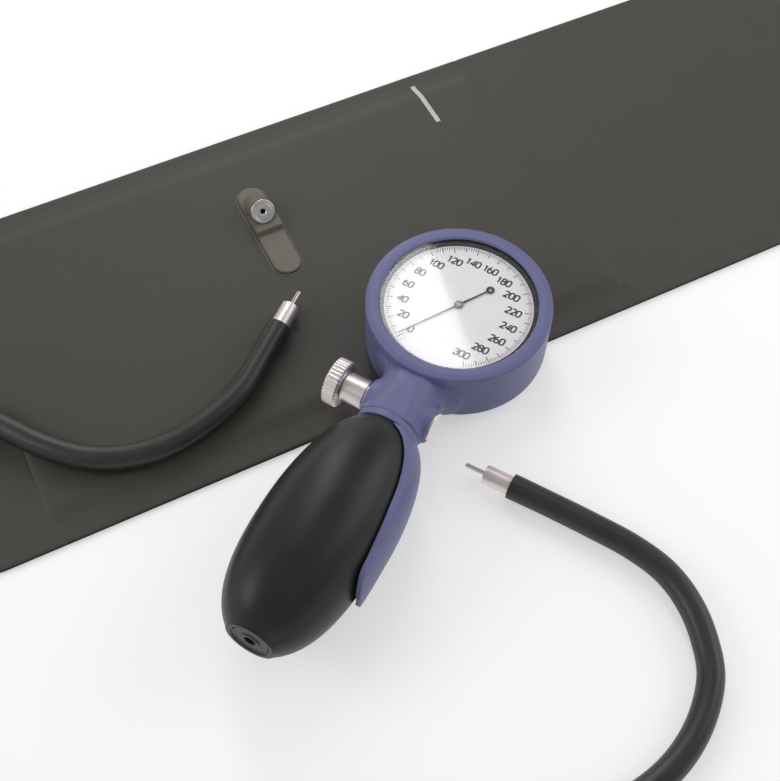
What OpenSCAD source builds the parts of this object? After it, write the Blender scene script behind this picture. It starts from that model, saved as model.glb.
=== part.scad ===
// Hand-held aneroid sphygmomanometer: gauge on a bulb handle, arm cuff and pressure hose.
// The gauge's dial faces up, the bulb points along -Y and the hose socket along +X.
// The origin lies on the cuff's underside, straight below the dial's centre.

/* [Gauge case] */
// Outside diameter of the case and its bezel
case_d = 66; // [60:1:76]
// Height of the case from its base to the top of the bezel
case_h = 24.9; // [24.5:0.1:30]
// Wall of the case
case_wall = 2; // [1.5:0.1:2.6]
// Floor of the case
case_floor = 2.2; // [1.6:0.1:3]
// Radius of the case's lower outside edge
foot_radius = 3; // [1:0.5:4]
// Height of the bezel ring
bezel_h = 5; // [4:0.1:7]
// Width of the bezel's face, from the opening to the outside
bezel_face = 5.1; // [4.5:0.1:8]
// Radius of the bezel's upper outside edge
bezel_radius = 0.9; // [0.5:0.1:2.6]
// Thickness of the lip that holds the lens
lip_t = 0.7; // [0.5:0.1:1.2]
// Thickness of the lens
lens_t = 1.2; // [0.8:0.1:1.6]
// Depth of the dial below the top of the bezel
dial_depth = 3.2; // [3.1:0.1:4]
// Gap between the bezel's opening and the dial's edge
dial_margin = 1.5; // [1:0.1:3]
// Thickness of the dial plate
dial_t = 0.6; // [0.4:0.1:1]

/* [Handle] */
// Tilt of the handle above the plane of the dial, in degrees
handle_tilt = 4.5; // [0:0.5:7]
// Height of the handle's axis above the case's base, at the dial's centre
handle_rise = 10.4; // [9:0.1:13]
// Diameter of the neck
neck_d = 22.6; // [21:0.1:23.4]
// Length of the neck from the case to its end face
neck_l = 19.5; // [18.5:0.5:26]
// Radius that blends the neck into the case
neck_blend = 5; // [2:0.5:6]
// Distance from the neck's end face back to the valve and the hose socket
cross_back = 8.7; // [8.6:0.1:10]
// Diameter of the spigot that carries the spoon
spigot_d = 17; // [14:0.2:18]

/* [Bulb] */
// Length of the bulb
bulb_l = 84; // [70:1:100]
// Largest diameter of the bulb
bulb_d = 41.6; // [36:0.2:41.8]
// Wall of the bulb
bulb_wall = 2.4; // [1.6:0.1:4]
// Diameter of the bulb's mouth
mouth_d = 21.6; // [18:0.2:22]
// Diameter of the bulb's flat tail
tail_d = 18; // [16:0.5:22]
// Depth of the thick rubber at the mouth
mouth_l = 10; // [7:0.5:13]
// Depth of the thick rubber at the tail
tail_l = 6; // [5.5:0.5:8]
// Outside diameter of the tube that joins bulb and neck
tube_d = 10; // [8:0.2:11]
// Length of that tube inside the bulb
tube_reach = 16; // [10:1:24]
// Diameter of the inlet valve's body
inlet_d = 12.8; // [10:0.2:13]
// Diameter of the inlet valve's air hole
inlet_hole_d = 3.6; // [2:0.2:4]

/* [Spoon] */
// Width of the lever
spoon_w = 24.6; // [16:0.2:28]
// Thickness of the lever
spoon_t = 1.7; // [1.2:0.1:3]
// Gap between the lever and the bulb
spoon_gap = 0.45; // [0.3:0.05:1]
// Distance from the bulb's mouth to the lever's tip
spoon_reach = 57.5; // [40:0.5:64]
// Width of the spoon's ring along the handle
ring_w = 2.6; // [2:0.1:4]

/* [Release valve] */
// Diameter of the valve's body
valve_d = 10.6; // [8.6:0.2:11]
// Distance from the handle's axis to the outer end of the valve's body
valve_reach = 21.2; // [21:0.1:26]
// Diameter of the boss round the valve
valve_boss_d = 14.2; // [13:0.2:16]
// Diameter of the knob
knob_d = 17; // [14:0.5:17]
// Thickness of the knob's rim
knob_t = 5; // [4:0.2:8]
// Number of grooves round the knob
knob_grooves = 28; // [16:1:36]
// Diameter of the spindle
spindle_d = 2.8; // [2.2:0.1:3.2]
// Distance that the spindle rises in one turn of the knob
spindle_pitch = 0.8; // [0.5:0.1:1]

/* [Hose connection] */
// Diameter of the hose
hose_d = 9; // [8:0.2:10]
// Diameter of the connector's metal sleeve
sleeve_d = 6.4; // [5.6:0.1:7]
// Length of the sleeve outside the hose
sleeve_l = 9.6; // [7:0.2:12]
// Diameter of the split pin
pin_d = 1.7; // [1.5:0.05:2.2]
// Length of the split pin
pin_l = 7.5; // [5:0.1:7.6]
// Width of the slot in the split pin
pin_slot = 0.3; // [0.2:0.05:0.5]
// Radial clearance of the pin in a socket
pin_clearance = 0.05; // [0.03:0.01:0.1]
// Diameter of a socket's metal face
socket_d = 10.4; // [9:0.2:11]
// Distance from the handle's axis to the socket's face
socket_reach = 13.2; // [12.8:0.1:16]
// Depth of the plain bore in a socket
socket_depth = 7.6; // [7.6:0.1:8]

/* [Cuff] */
// Length of the cuff
cuff_l = 530; // [480:5:600]
// Width of the cuff
cuff_w = 145; // [135:1:160]
// Thickness of the lining
lining_t = 1; // [0.8:0.1:1.5]
// Thickness of the outer cover
cover_t = 1; // [0.6:0.1:1.5]
// Thickness of the empty bladder
bladder_t = 1.5; // [1:0.1:2]
// Length of the bladder
bladder_l = 224; // [180:2:240]
// Width of the cuff's flat seam along its edges
seam_w = 8; // [5:0.5:10]
// Thickness of the hook patch
hook_t = 0.6; // [0.4:0.1:0.7]
// Length of the hook patch
hook_l = 85; // [50:5:120]

/* [Cuff port] */
// Width of the port's moulding
port_w = 11.2; // [10.8:0.1:14]
// Length of the port's moulding
port_l = 46; // [40:1:56]
// Height of the moulding's tongue above the cover
tongue_h = 1.2; // [0.8:0.1:2]
// Angle of the port's barrel above the cuff, in degrees
port_angle = 40; // [34:1:42]
// Diameter of the port's barrel
port_d = 10.4; // [9.8:0.1:10.6]
// Diameter of the port's metal face
port_face_d = 9.4; // [8:0.2:9.6]

/* [Movement] */
// Diameter of the pressure capsule
capsule_d = 42; // [34:1:44]
// Height of the pressure capsule
capsule_h = 4.2; // [3.6:0.1:4.6]
// Rise of the capsule at full scale
capsule_rise = 1.6; // [1.2:0.1:1.8]
// Sweep of the pointer at full scale, in degrees
pointer_sweep = 300; // [270:5:320]
// Module of the gear teeth
gear_module = 0.25; // [0.22:0.01:0.26]
// Teeth on the pinion
pinion_teeth = 12; // [12:1:14]
// Turns of the pinion for one turn of the toothed sector
gear_ratio = 8; // [7:1:9]
// Turns of the hairspring
hair_turns = 4; // [3:1:6]

/* [Hidden] */

$fn = 96;
fine = 0.01;
big = 200;

// Colours
blue = [0.40, 0.41, 0.60];
black_rubber = [0.12, 0.12, 0.11];
cuff_grey = [0.28, 0.28, 0.26];
chrome = [0.82, 0.80, 0.79];
brass = [0.80, 0.66, 0.36];

// Clearances
rest_gap = 0.3;    // between pieces that only lie on each other
fit_gap = 0.1;     // between pieces that are pushed together
run_gap = 0.05;    // radial, round what turns or slides

// Cuff, measured from the gauge's axis along and across the cuff
cuff_angle = 54.7;
cuff_start = -194;
cuff_near = -14;
cuff_far = cuff_near + cuff_w;
cuff_end = cuff_start + cuff_l;
tail_corner = 60;
near_corner = 20;
end_corner = 30;
cuff_t = lining_t + bladder_t + cover_t;
bladder_start = -155;
bladder_inset = seam_w + 4;
hook_inset = 14;

// Heights of the gauge
case_r = case_d / 2;
case_base = cuff_t + rest_gap;
case_top = case_base + case_h;
floor_z = case_base + case_floor;
bezel_z = case_top - bezel_h;
cavity_r = case_r - case_wall;
window_r = case_r - bezel_face;
rebate_r = window_r + 1.6;
skirt_r = cavity_r - fit_gap;
skirt_l = 3;
lens_top = case_top - lip_t;
lens_r = rebate_r - fit_gap;
lens_base = lens_top - lens_t;
dial_r = window_r - dial_margin;
dial_z = case_top - dial_depth;
dial_base = dial_z - dial_t;

// Handle: its own frame has Y up and Z from the gauge's axis towards the bulb's tail
axis_z = case_base + handle_rise;
neck_end = case_r + neck_l;
cross_t = neck_end - cross_back;
neck_r = neck_d / 2;
hood_z = case_top - 0.8;
air_r = 1.5;
mouth_t = neck_end + ring_w + 2 * rest_gap;
tail_t = mouth_t + bulb_l;
tube_r = tube_d / 2;
tube_bore_r = 2.5;
tube_back = 4.6;
belly = 0.48;

// Release valve, measured from the handle's axis
valve_r = valve_d / 2;
valve_root = 8.4;
valve_boss_reach = 11.9;
stub_r = 3.5;
seat_z = 1;
seat_t = 2.4;
collar_r = spindle_d / 2 + 0.8;
collar_z = 15;
collar_l = 5.6;
seal_r = 0.55;
seal_z = 12;
seal_play = 1;
gland_l = 3.2;
knob_gap = 0.8;
knob_hub_r = 4;
groove_r = 0.55;

// Hose socket, measured from the handle's axis
socket_bore_r = pin_d / 2 + pin_clearance;
socket_lip = 0.8;
socket_barrel_r = 3.2;
socket_boss_r = socket_d / 2 + 1.3;
lead_r = 1.4;
socket_seal_r = 0.5;
pin_root_r = pin_d / 2 + 0.35;
pin_root_l = 3;

// Cuff port, in the cuff's frame
port_u = -41;
port_near = 54.5;
port_far = port_near + port_l;
port_face = [port_u, 82, cuff_t + 6.7];
port_barrel_l = 12.5;
port_bushing_r = 2;
port_bushing_l = socket_depth + 0.6;
passage_r = 0.5;
port_lip_gap = 0.15;
port_top = 20;
cross_bore_l = 10;
port_air_v = port_face.y + (port_bushing_l + 1) * cos(port_angle);
port_air_z = port_face.z - (port_bushing_l + 1) * sin(port_angle);
block_near = 75;
block_far = 85;
block_h = 3.4;

// Movement heights and places
capsule_z = floor_z + 2.2;
capsule_r = capsule_d / 2;
capsule_top = capsule_z + capsule_h;
plate_t = 1;
rocker_z = capsule_top + 2.3;
plate_z = rocker_z + 2.2;
sector_t = 0.8;
sector_z = plate_z + plate_t + 1.4;
bridge_z = sector_z + sector_t + 1.5;
bridge_t = 1;
pinion_r = gear_module * pinion_teeth / 2;
sector_r = pinion_r * gear_ratio;
gear_angle = 24;
sector_pivot = (pinion_r + sector_r) * [cos(gear_angle), sin(gear_angle)];
sector_sweep = pointer_sweep / gear_ratio;
tail_arm = 3;
tail_w = 1;
rod_r = 0.5;
rod_gap = 0.25;
push_r = 0.5;
rod_x = sector_pivot.x + tail_arm;
rod_arm = sector_z + sector_t / 2 - rocker_z;
rocker_half = asin(tail_arm * sin(sector_sweep / 2) / rod_arm);
rocker_y = sector_pivot.y - tail_w / 2 - rod_r - rod_gap;
lift_arm = capsule_rise / 2 / sin(rocker_half);
ear_x = [-5, rod_x - 2.6];
ear_t = 1.2;
arbor_r = 0.5;
pointer_hub_r = 1.6;
tail_ring_r = 1.5;
tail_hole_r = 0.65;
plate_r = 17;
bridge_r = 7;
pillar_r = 2.2;
pillar_ring = cavity_r - pillar_r - 1.5;
pillar_angles = [90, 200, 320];
post_places = [[-10, 7], [-6, -11], [12.5, -9]];
post_r = 1.4;
screw_head_r = 1.6;
screw_head_t = 0.8;
dial_feet = [[-15, 0], [16, -2]];

// Hose: the route of its middle as it lies on the cuff and on the table
hose_r = hose_d / 2;
on_cuff = cuff_t + hose_r;
on_table = hose_r;
mouth_a = [-58.2, -28.2];
mouth_b = [43.6, -44.7];
route_a = [
    [-57, -42], [-56, -55], [-57, -65], [-60, -76], [-65, -87], [-72, -96], [-81, -103],
    [-92, -107.5], [-105, -109.5], [-121, -110]
];
route_hidden = [
    [-137, -112, 0], [-152, -120, -0.6], [-162, -135, -2], [-164, -153, -3.2], [-158, -171, -3.5],
    [-146, -187, -3.5], [-129, -201, -3.5], [-109, -212, -3.5], [-87, -219, -3.5],
    [-64, -221, -3.5], [-40, -217, -3.5], [-16, -208, -3.5], [8, -197, -3.5], [32, -185, -3.5],
    [56, -172, -3.5], [79, -158, -3.5], [99, -143, -3.5]
];
route_b = [
    [115, -127], [125, -110], [128.8, -93], [127.1, -76.2], [120.6, -64.4], [111.7, -55], [101, -48.7],
    [88, -45.8], [73, -45], [58, -44.7]
];
hose_route = concat(
    [[mouth_a.x, mouth_a.y, on_cuff]],
    [for (p = route_a) [p.x, p.y, on_cuff]],
    [for (p = route_hidden) [p.x, p.y, on_table + cuff_t + p.z]],
    [for (p = route_b) [p.x, p.y, on_table]],
    [[mouth_b.x, mouth_b.y, on_table]]
);
hose_path = smoothed(hose_route);

// Point on a cubic Bezier curve with the control points c, at 0 <= t <= 1
function bezier(c, t) =
    c[0] * pow(1 - t, 3) + 3 * c[1] * t * pow(1 - t, 2)
    + 3 * c[2] * t * t * (1 - t) + c[3] * pow(t, 3);

// Point number i of a list, held at the list's ends
function held(list, i) = list[max(0, min(len(list) - 1, i))];

// Catmull-Rom point between list[i] and list[i + 1], at 0 <= t <= 1
function smooth_point(list, i, t) =
    let (a = held(list, i - 1), b = list[i], c = list[i + 1], d = held(list, i + 2))
    0.5 * (2 * b + (c - a) * t + (2 * a - 5 * b + 4 * c - d) * t * t
    + (3 * b - a - 3 * c + d) * t * t * t);

// The route with one more point between each pair
function smoothed(list) = concat(
    [for (i = [0:len(list) - 2]) each [list[i], smooth_point(list, i, 0.5)]],
    [list[len(list) - 1]]
);

function unit(v) = v / norm(v);

// Direction of a path at its point i
function heading(path, i) =
    i == 0 ? unit(path[1] - path[0])
    : i == len(path) - 1 ? unit(path[i] - path[i - 1])
    : unit(path[i + 1] - path[i - 1]);

// Length of a path
function path_length(path, i = 1) =
    i >= len(path) ? 0 : norm(path[i] - path[i - 1]) + path_length(path, i + 1);

// Round tube along a path: one ring of sides points at each path point, closed at both ends
module tube_along(path, radius, sides) {
    rings = [for (i = [0:len(path) - 1])
        let (h = heading(path, i), s = unit(cross(h, [0, 0, 1])), u = cross(s, h))
        [for (k = [0:sides - 1])
            path[i] + radius * (cos(360 * (k + 0.5) / sides) * s
            + sin(360 * (k + 0.5) / sides) * u)]];
    n = len(path);
    points = [for (ring = rings) each ring];
    walls = [for (i = [0:n - 2], k = [0:sides - 1])
        let (a = i * sides + k, b = i * sides + (k + 1) % sides)
        each [[a, b, b + sides], [a, b + sides, a + sides]]];
    first = [for (k = [1:sides - 2]) [0, k + 1, k]];
    last = [for (k = [1:sides - 2]) (n - 1) * sides * [1, 1, 1] + [0, k, k + 1]];
    polyhedron(concat(points), concat(walls, first, last));
}

// Ring with square edges
module ring(outer_r, inner_r, h) {
    difference() {
        cylinder(h = h, r = outer_r);
        translate([0, 0, -1]) cylinder(h = h + 2, r = inner_r);
    }
}

// Round bar from a to b
module bar(a, b, r) {
    d = b - a;
    translate(a)
        rotate([0, acos(d.z / norm(d)), atan2(d.y, d.x)])
            cylinder(h = norm(d), r = r, $fn = 32);
}

// O-ring lying in the XY plane
module seal_ring(middle_r, cord_r) {
    rotate_extrude()
        translate([middle_r, 0])
            circle(r = cord_r, $fn = 24);
}

// Frames of the handle, the valve, the hose socket and the cuff
module on_handle() {
    translate([0, 0, axis_z])
        rotate([90 - handle_tilt, 0, 0])
            children();
}

module on_valve() {
    on_handle()
        translate([0, 0, cross_t])
            rotate([0, -90, 0])
                children();
}

module on_socket() {
    on_handle()
        translate([0, 0, cross_t])
            rotate([0, 90, 0])
                children();
}

module on_cuff_plane() {
    rotate([0, 0, cuff_angle])
        children();
}

// What a rounded corner leaves of a square
module corner_waste(r) {
    difference() {
        translate([-1, -1]) square(r + 1);
        translate([r, r]) circle(r = r);
    }
}

// Outline of the cuff, drawn in by inset
module cuff_outline(inset = 0) {
    u0 = cuff_start + inset;
    u1 = cuff_end - inset;
    v0 = cuff_near + inset;
    v1 = cuff_far - inset;
    difference() {
        translate([u0, v0]) square([u1 - u0, v1 - v0]);
        translate([u0, v0]) corner_waste(near_corner - inset);
        translate([u0, v1]) rotate(-90) corner_waste(tail_corner - inset);
        translate([u1, v0]) rotate(90) corner_waste(end_corner - inset);
        translate([u1, v1]) rotate(180) corner_waste(end_corner - inset);
    }
}

// Outline of the bladder, grown by margin
module bladder_outline(margin = 0) {
    r = 14;
    translate([bladder_start - margin, cuff_near + bladder_inset - margin])
        difference() {
            l = bladder_l + 2 * margin;
            w = cuff_w - 2 * bladder_inset + 2 * margin;
            square([l, w]);
            corner_waste(r);
            translate([0, w]) rotate(-90) corner_waste(r);
            translate([l, 0]) rotate(90) corner_waste(r);
            translate([l, w]) rotate(180) corner_waste(r);
        }
}

// Stadium along the cuff's width, from v0 to v1
module stadium(v0, v1, w) {
    translate([port_u, 0]) {
        translate([-w / 2, v0 + w / 2]) square([w, v1 - v0 - w]);
        translate([0, v0 + w / 2]) circle(d = w);
        translate([0, v1 - w / 2]) circle(d = w);
    }
}

module hook_outline() {
    translate([cuff_end - hook_inset - hook_l, cuff_near + hook_inset])
        square([hook_l, cuff_w - 2 * hook_inset]);
}

module cuff_lining() {
    color(cuff_grey)
        on_cuff_plane()
            difference() {
                linear_extrude(lining_t) cuff_outline();
                translate([0, 0, -1]) linear_extrude(1 + hook_t) hook_outline();
            }
}

module hook_patch() {
    color([0.16, 0.16, 0.16])
        on_cuff_plane()
            linear_extrude(hook_t) hook_outline();
}

// Empty bladder: one flat bag with a rounded outline and the port's air hole
module cuff_bladder() {
    color([0.55, 0.50, 0.42])
        on_cuff_plane()
            difference() {
                translate([0, 0, lining_t]) linear_extrude(bladder_t) bladder_outline();
                port_air_hole();
            }
}

// Cover: flat seam all round, raised over the bladder, with the port's pocket
module cuff_cover() {
    color(cuff_grey)
        on_cuff_plane()
            difference() {
                union() {
                    translate([0, 0, lining_t]) linear_extrude(cover_t) cuff_outline();
                    translate([0, 0, lining_t + cover_t / 2])
                        linear_extrude(bladder_t + cover_t / 2) bladder_outline(3);
                }
                translate([0, 0, lining_t - 1])
                    linear_extrude(1 + bladder_t) bladder_outline();
                translate([0, 0, cuff_t - 0.3])
                    linear_extrude(1) stadium(port_near, port_far, port_w);
                port_air_hole();
            }
}

module port_air_hole() {
    translate([port_u, port_air_v, lining_t + 0.4])
        cylinder(h = port_air_z - lining_t, r = 1, $fn = 32);
}

// Frame of the port's barrel: Z comes out of the metal face
module on_port() {
    translate(port_face)
        rotate([90 - port_angle, 0, 0])
            children();
}

// Rubber moulding of the port: tongue, block and slanted barrel with a round back
module port_boot() {
    base = cuff_t - 0.3;
    color([0.20, 0.20, 0.18])
        on_cuff_plane()
            difference() {
                union() {
                    translate([0, 0, base])
                        linear_extrude(0.3 + tongue_h)
                            stadium(port_near, port_far, port_w - 2 * run_gap);
                    intersection() {
                        translate([port_u - port_w / 2 + run_gap, block_near, base])
                            cube([port_w - 2 * run_gap, block_far - block_near, block_h]);
                        translate([port_u, block_near, base])
                            rotate([0, 90, 0])
                                translate([0, block_h * 1.6, -port_w])
                                    cylinder(h = 2 * port_w, r = block_h * 1.6);
                    }
                    intersection() {
                        on_port() {
                            translate([0, 0, -port_barrel_l])
                                cylinder(h = port_barrel_l - 0.8, d = port_d);
                            translate([0, 0, -port_barrel_l]) sphere(d = port_d);
                        }
                        translate([port_u - port_w, port_near, base])
                            cube([2 * port_w, port_l, port_top]);
                    }
                }
                on_port()
                    translate([0, 0, -port_bushing_l])
                        cylinder(h = port_bushing_l, r = port_bushing_r);
                on_port()
                    translate([0, 0, -port_bushing_l - 1])
                        cylinder(h = port_bushing_l, r = passage_r, $fn = 32);
                on_port()
                    translate([0, 0, -socket_lip])
                        cylinder(h = port_d, r = port_face_d / 2 + port_lip_gap);
                port_air_hole();
            }
}

// Metal socket with a flange of radius flange_r, a barrel and a lead-in; Z comes out of its face
module socket_bushing(flange_r, barrel_r, barrel_l) {
    difference() {
        union() {
            translate([0, 0, -socket_lip])
                rotate_extrude()
                    polygon([
                        [0, 0], [flange_r, 0], [flange_r, socket_lip - 0.25],
                        [flange_r - 0.25, socket_lip], [0, socket_lip]
                    ]);
            translate([0, 0, -barrel_l]) cylinder(h = barrel_l, r = barrel_r);
        }
        translate([0, 0, -barrel_l - 1]) cylinder(h = barrel_l + 2, r = socket_bore_r);
        translate([0, 0, -lead_r + socket_bore_r])
            rotate_extrude()
                polygon([
                    [0, 0], [socket_bore_r, 0], [lead_r + fine, lead_r - socket_bore_r + fine],
                    [0, lead_r - socket_bore_r + fine]
                ]);
    }
}

module port_bushing() {
    color(chrome)
        on_cuff_plane()
            on_port()
                socket_bushing(port_face_d / 2, port_bushing_r, port_bushing_l);
}

// Profile of the case: floor, rounded lower edge and wall up to the bezel
module case_profile() {
    polygon(concat(
        [[0, case_base], [case_r - foot_radius, case_base]],
        [for (a = [-75:15:0])
            [case_r - foot_radius + foot_radius * cos(a), case_base + foot_radius * (1 + sin(a))]],
        [[case_r, bezel_z], [0, bezel_z]]
    ));
}

// Case: a cup in one moulding with the neck, the spigot and the two bosses
module case() {
    color(blue)
        difference() {
            union() {
                rotate_extrude() case_profile();
                intersection() {
                    on_handle() neck_body();
                    translate([0, 0, case_base + 0.6])
                        cylinder(h = hood_z - case_base - 0.6, r = big);
                }
                on_handle()
                    translate([0, 0, neck_end - 1])
                        cylinder(h = 1 + ring_w + rest_gap, d = spigot_d);
                on_valve()
                    translate([0, 0, 4]) cylinder(h = valve_boss_reach - 4, d = valve_boss_d);
                on_socket()
                    translate([0, 0, 4])
                        cylinder(h = socket_reach - socket_lip - 4, r = socket_boss_r);
            }
            translate([0, 0, floor_z]) cylinder(h = big, r = cavity_r);
            translate([0, 0, bezel_z]) cylinder(h = big, r = case_r + fit_gap / 2);
            on_handle() case_air_ways();
            on_valve() {
                translate([0, 0, seat_z]) cylinder(h = big, r = stub_r);
                translate([0, 0, valve_root]) cylinder(h = big, r = valve_r + run_gap);
                cylinder(h = cross_bore_l, r = 1.2, $fn = 32);
            }
            on_socket() {
                translate([0, 0, socket_reach - socket_depth - 3]) cylinder(h = big, r = socket_barrel_r);
                cylinder(h = cross_bore_l, r = passage_r, $fn = 32);
            }
        }
}

// Neck with its flare, in the handle's frame
module neck_body() {
    flare_t = case_r - 2;
    rotate_extrude()
        polygon(concat(
            [[0, flare_t - 6], [neck_r + neck_blend, flare_t - 6]],
            [for (a = [0:15:90])
                [neck_r + neck_blend * (1 - sin(a)), flare_t + neck_blend * (1 - cos(a))]],
            [[neck_r, neck_end - 0.4], [neck_r - 0.4, neck_end], [0, neck_end]]
        ));
}

// Air ways along the handle: to the gauge, through the cross, and the seat of the bulb's tube
module case_air_ways() {
    translate([0, 0, cavity_r - 2]) cylinder(h = cross_t - cavity_r + 2, r = air_r, $fn = 32);
    translate([0, 0, cross_t]) cylinder(h = cross_back, r = 2, $fn = 48);
    translate([0, 0, neck_end - tube_back]) cylinder(h = big, r = tube_r);
}

// Bezel: rounded ring with a lip over the lens and a skirt inside the case
module bezel() {
    edge = 0.5;
    color(blue)
        rotate_extrude()
            polygon(concat(
                [[skirt_r, bezel_z - skirt_l], [skirt_r, bezel_z], [case_r, bezel_z]],
                [for (a = [0:15:90])
                    [case_r - bezel_radius * (1 - cos(a)), case_top - bezel_radius * (1 - sin(a))]],
                [for (a = [90:30:180])
                    [window_r + edge * (1 + cos(a)), case_top - edge * (1 - sin(a))]],
                [[window_r, lens_top], [rebate_r, lens_top], [rebate_r, bezel_z - skirt_l]]
            ));
}

module lens() {
    color([0.9, 0.95, 1, 0.3])
        translate([0, 0, lens_base]) cylinder(h = lens_t, r = lens_r);
}

// Black ring that holds the lens up and hides the dial's edge
module dial_spacer() {
    color([0.06, 0.06, 0.06])
        rotate_extrude()
            polygon([
                [window_r - 0.2, lens_base], [lens_r, lens_base],
                [lens_r, dial_base - 1], [dial_r + 0.2, dial_base - 1],
                [dial_r + 0.2, dial_z], [window_r - 0.2, dial_z]
            ]);
}

module dial() {
    color("white")
        difference() {
            translate([0, 0, dial_base]) cylinder(h = dial_t, r = dial_r);
            translate([0, 0, dial_base - 1]) cylinder(h = dial_t + 2, r = 1, $fn = 32);
        }
}

// Pointer at zero: hub, tapered needle and a short tail that ends in an open ring
module pointer() {
    z = dial_z + 0.35;
    tip = dial_r - 1.6;
    tail = 13;
    tail_end = (tail_ring_r + tail_hole_r) / 2 - tail;
    color("black")
        rotate([0, 0, 90 + pointer_sweep / 2])
            translate([0, 0, z])
                difference() {
                    union() {
                        cylinder(h = 0.55, r = pointer_hub_r, $fn = 48);
                        linear_extrude(0.25)
                            polygon([
                                [1, -0.3], [tip, -0.12], [tip, 0.12], [1, 0.3],
                                [-1, 0.32], [tail_end, 0.22], [tail_end, -0.22], [-1, -0.32]
                            ]);
                        translate([-tail, 0, 0]) cylinder(h = 0.25, r = tail_ring_r, $fn = 48);
                    }
                    translate([-tail, 0, -1]) cylinder(h = 3, r = tail_hole_r, $fn = 48);
                    translate([0, 0, -1]) cylinder(h = 3, r = arbor_r, $fn = 48);
                }
}

// Teeth as a ring or a fan of trapezia on the pitch radius r
module teeth(r, count, from, step) {
    addendum = 0.8 * gear_module;
    dedendum = 1.1 * gear_module;
    root_w = 0.52 * PI * gear_module;
    top_w = 0.2 * PI * gear_module;
    for (i = [0:count - 1])
        rotate(from + i * step)
            polygon([
                [r - dedendum - 0.05, -root_w / 2], [r + addendum, -top_w / 2],
                [r + addendum, top_w / 2], [r - dedendum - 0.05, root_w / 2]
            ]);
}

// Arbor with the pinion cut on it: pivot below, pointer's seat above
module pinion_arbor() {
    color(brass) {
        translate([0, 0, sector_z - 0.2])
            linear_extrude(sector_t + 0.4) {
                circle(r = pinion_r - 1.1 * gear_module, $fn = 48);
                teeth(pinion_r, pinion_teeth, gear_angle, 360 / pinion_teeth);
            }
        translate([0, 0, plate_z + 0.1])
            cylinder(h = dial_z + 0.8 - plate_z - 0.1, r = arbor_r, $fn = 48);
        translate([0, 0, sector_z - 1.2]) cylinder(h = 0.8, r = 1, $fn = 48);
    }
}

// Toothed sector at rest, with the tail that the rocking shaft pushes
module toothed_sector() {
    half_pitch = 180 / pinion_teeth / gear_ratio;
    step = 2 * half_pitch;
    spare = 2;
    count = ceil(sector_sweep / step) + 2 * spare + 1;
    contact = 180 + gear_angle;
    first = contact + half_pitch + spare * step;
    color(brass)
        translate([sector_pivot.x, sector_pivot.y, 0])
            difference() {
                union() {
                    translate([0, 0, sector_z])
                        linear_extrude(sector_t) {
                            intersection() {
                                circle(r = sector_r - 1.1 * gear_module);
                                union() {
                                    difference() {
                                        rotate(first - (count - 1) * step / 2)
                                            fan(sector_r, count * step / 2 + 0.5);
                                        circle(r = sector_r - 2.2);
                                    }
                                    for (side = [-1, 0, 1])
                                        rotate(first - (count - 1) * step * (0.5 + 0.42 * side))
                                            translate([0, -0.55]) square([sector_r, 1.1]);
                                }
                            }
                            teeth(sector_r, count, first, -step);
                            circle(r = 1.8, $fn = 48);
                            rotate(-sector_sweep / 2)
                                translate([0, -tail_w / 2]) square([tail_arm + 1, tail_w]);
                        }
                    translate([0, 0, plate_z + plate_t + 0.1])
                        cylinder(h = bridge_z - plate_z - plate_t - 0.2, r = 1.1, $fn = 48);
                    translate([0, 0, plate_z + 0.1])
                        cylinder(h = bridge_z + bridge_t - plate_z - 0.2, r = arbor_r, $fn = 48);
                }
            }
}

// Pie of the given half angle along +X
module fan(r, half) {
    polygon(concat([[0, 0]], [for (i = [-6:6]) 1.2 * r * [cos(i * half / 6), sin(i * half / 6)]]));
}

// Rocking shaft: one arm lies on the push pin, the other pushes the sector's tail
module rocking_shaft() {
    r = 0.6;
    color(brass)
        translate([0, rocker_y, rocker_z])
            rotate([rocker_half, 0, 0]) {
                bar([ear_x[0] - ear_t / 2, 0, 0], [rod_x + rod_r + 0.2, 0, 0], r);
                bar([rod_x, 0, 0], [rod_x, 0, rod_arm + sector_t / 2 + 0.3], rod_r);
                bar([0, 0, 0], [0, -lift_arm - 0.6, 0], rod_r);
            }
}

// Flat spiral round the arbor, pinned to a post on the plate
module hairspring() {
    w = 0.12;
    r0 = 1.05;
    pitch = 0.75;
    n = 24 * hair_turns;
    z = sector_z - 1.1;
    inner = [for (i = [0:n]) let (a = i * 15) (r0 + w / 2 + pitch * i / 24) * [cos(a), sin(a)]];
    outer = [for (i = [n:-1:0]) let (a = i * 15) (r0 + w * 1.5 + pitch * i / 24) * [cos(a), sin(a)]];
    end_r = r0 + w + pitch * hair_turns;
    color([0.6, 0.65, 0.8]) {
        translate([0, 0, z]) linear_extrude(0.5) polygon(concat(inner, outer));
        translate([end_r, 0, plate_z + plate_t])
            cylinder(h = z + 0.5 - plate_z - plate_t, r = 0.35, $fn = 24);
    }
}

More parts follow.
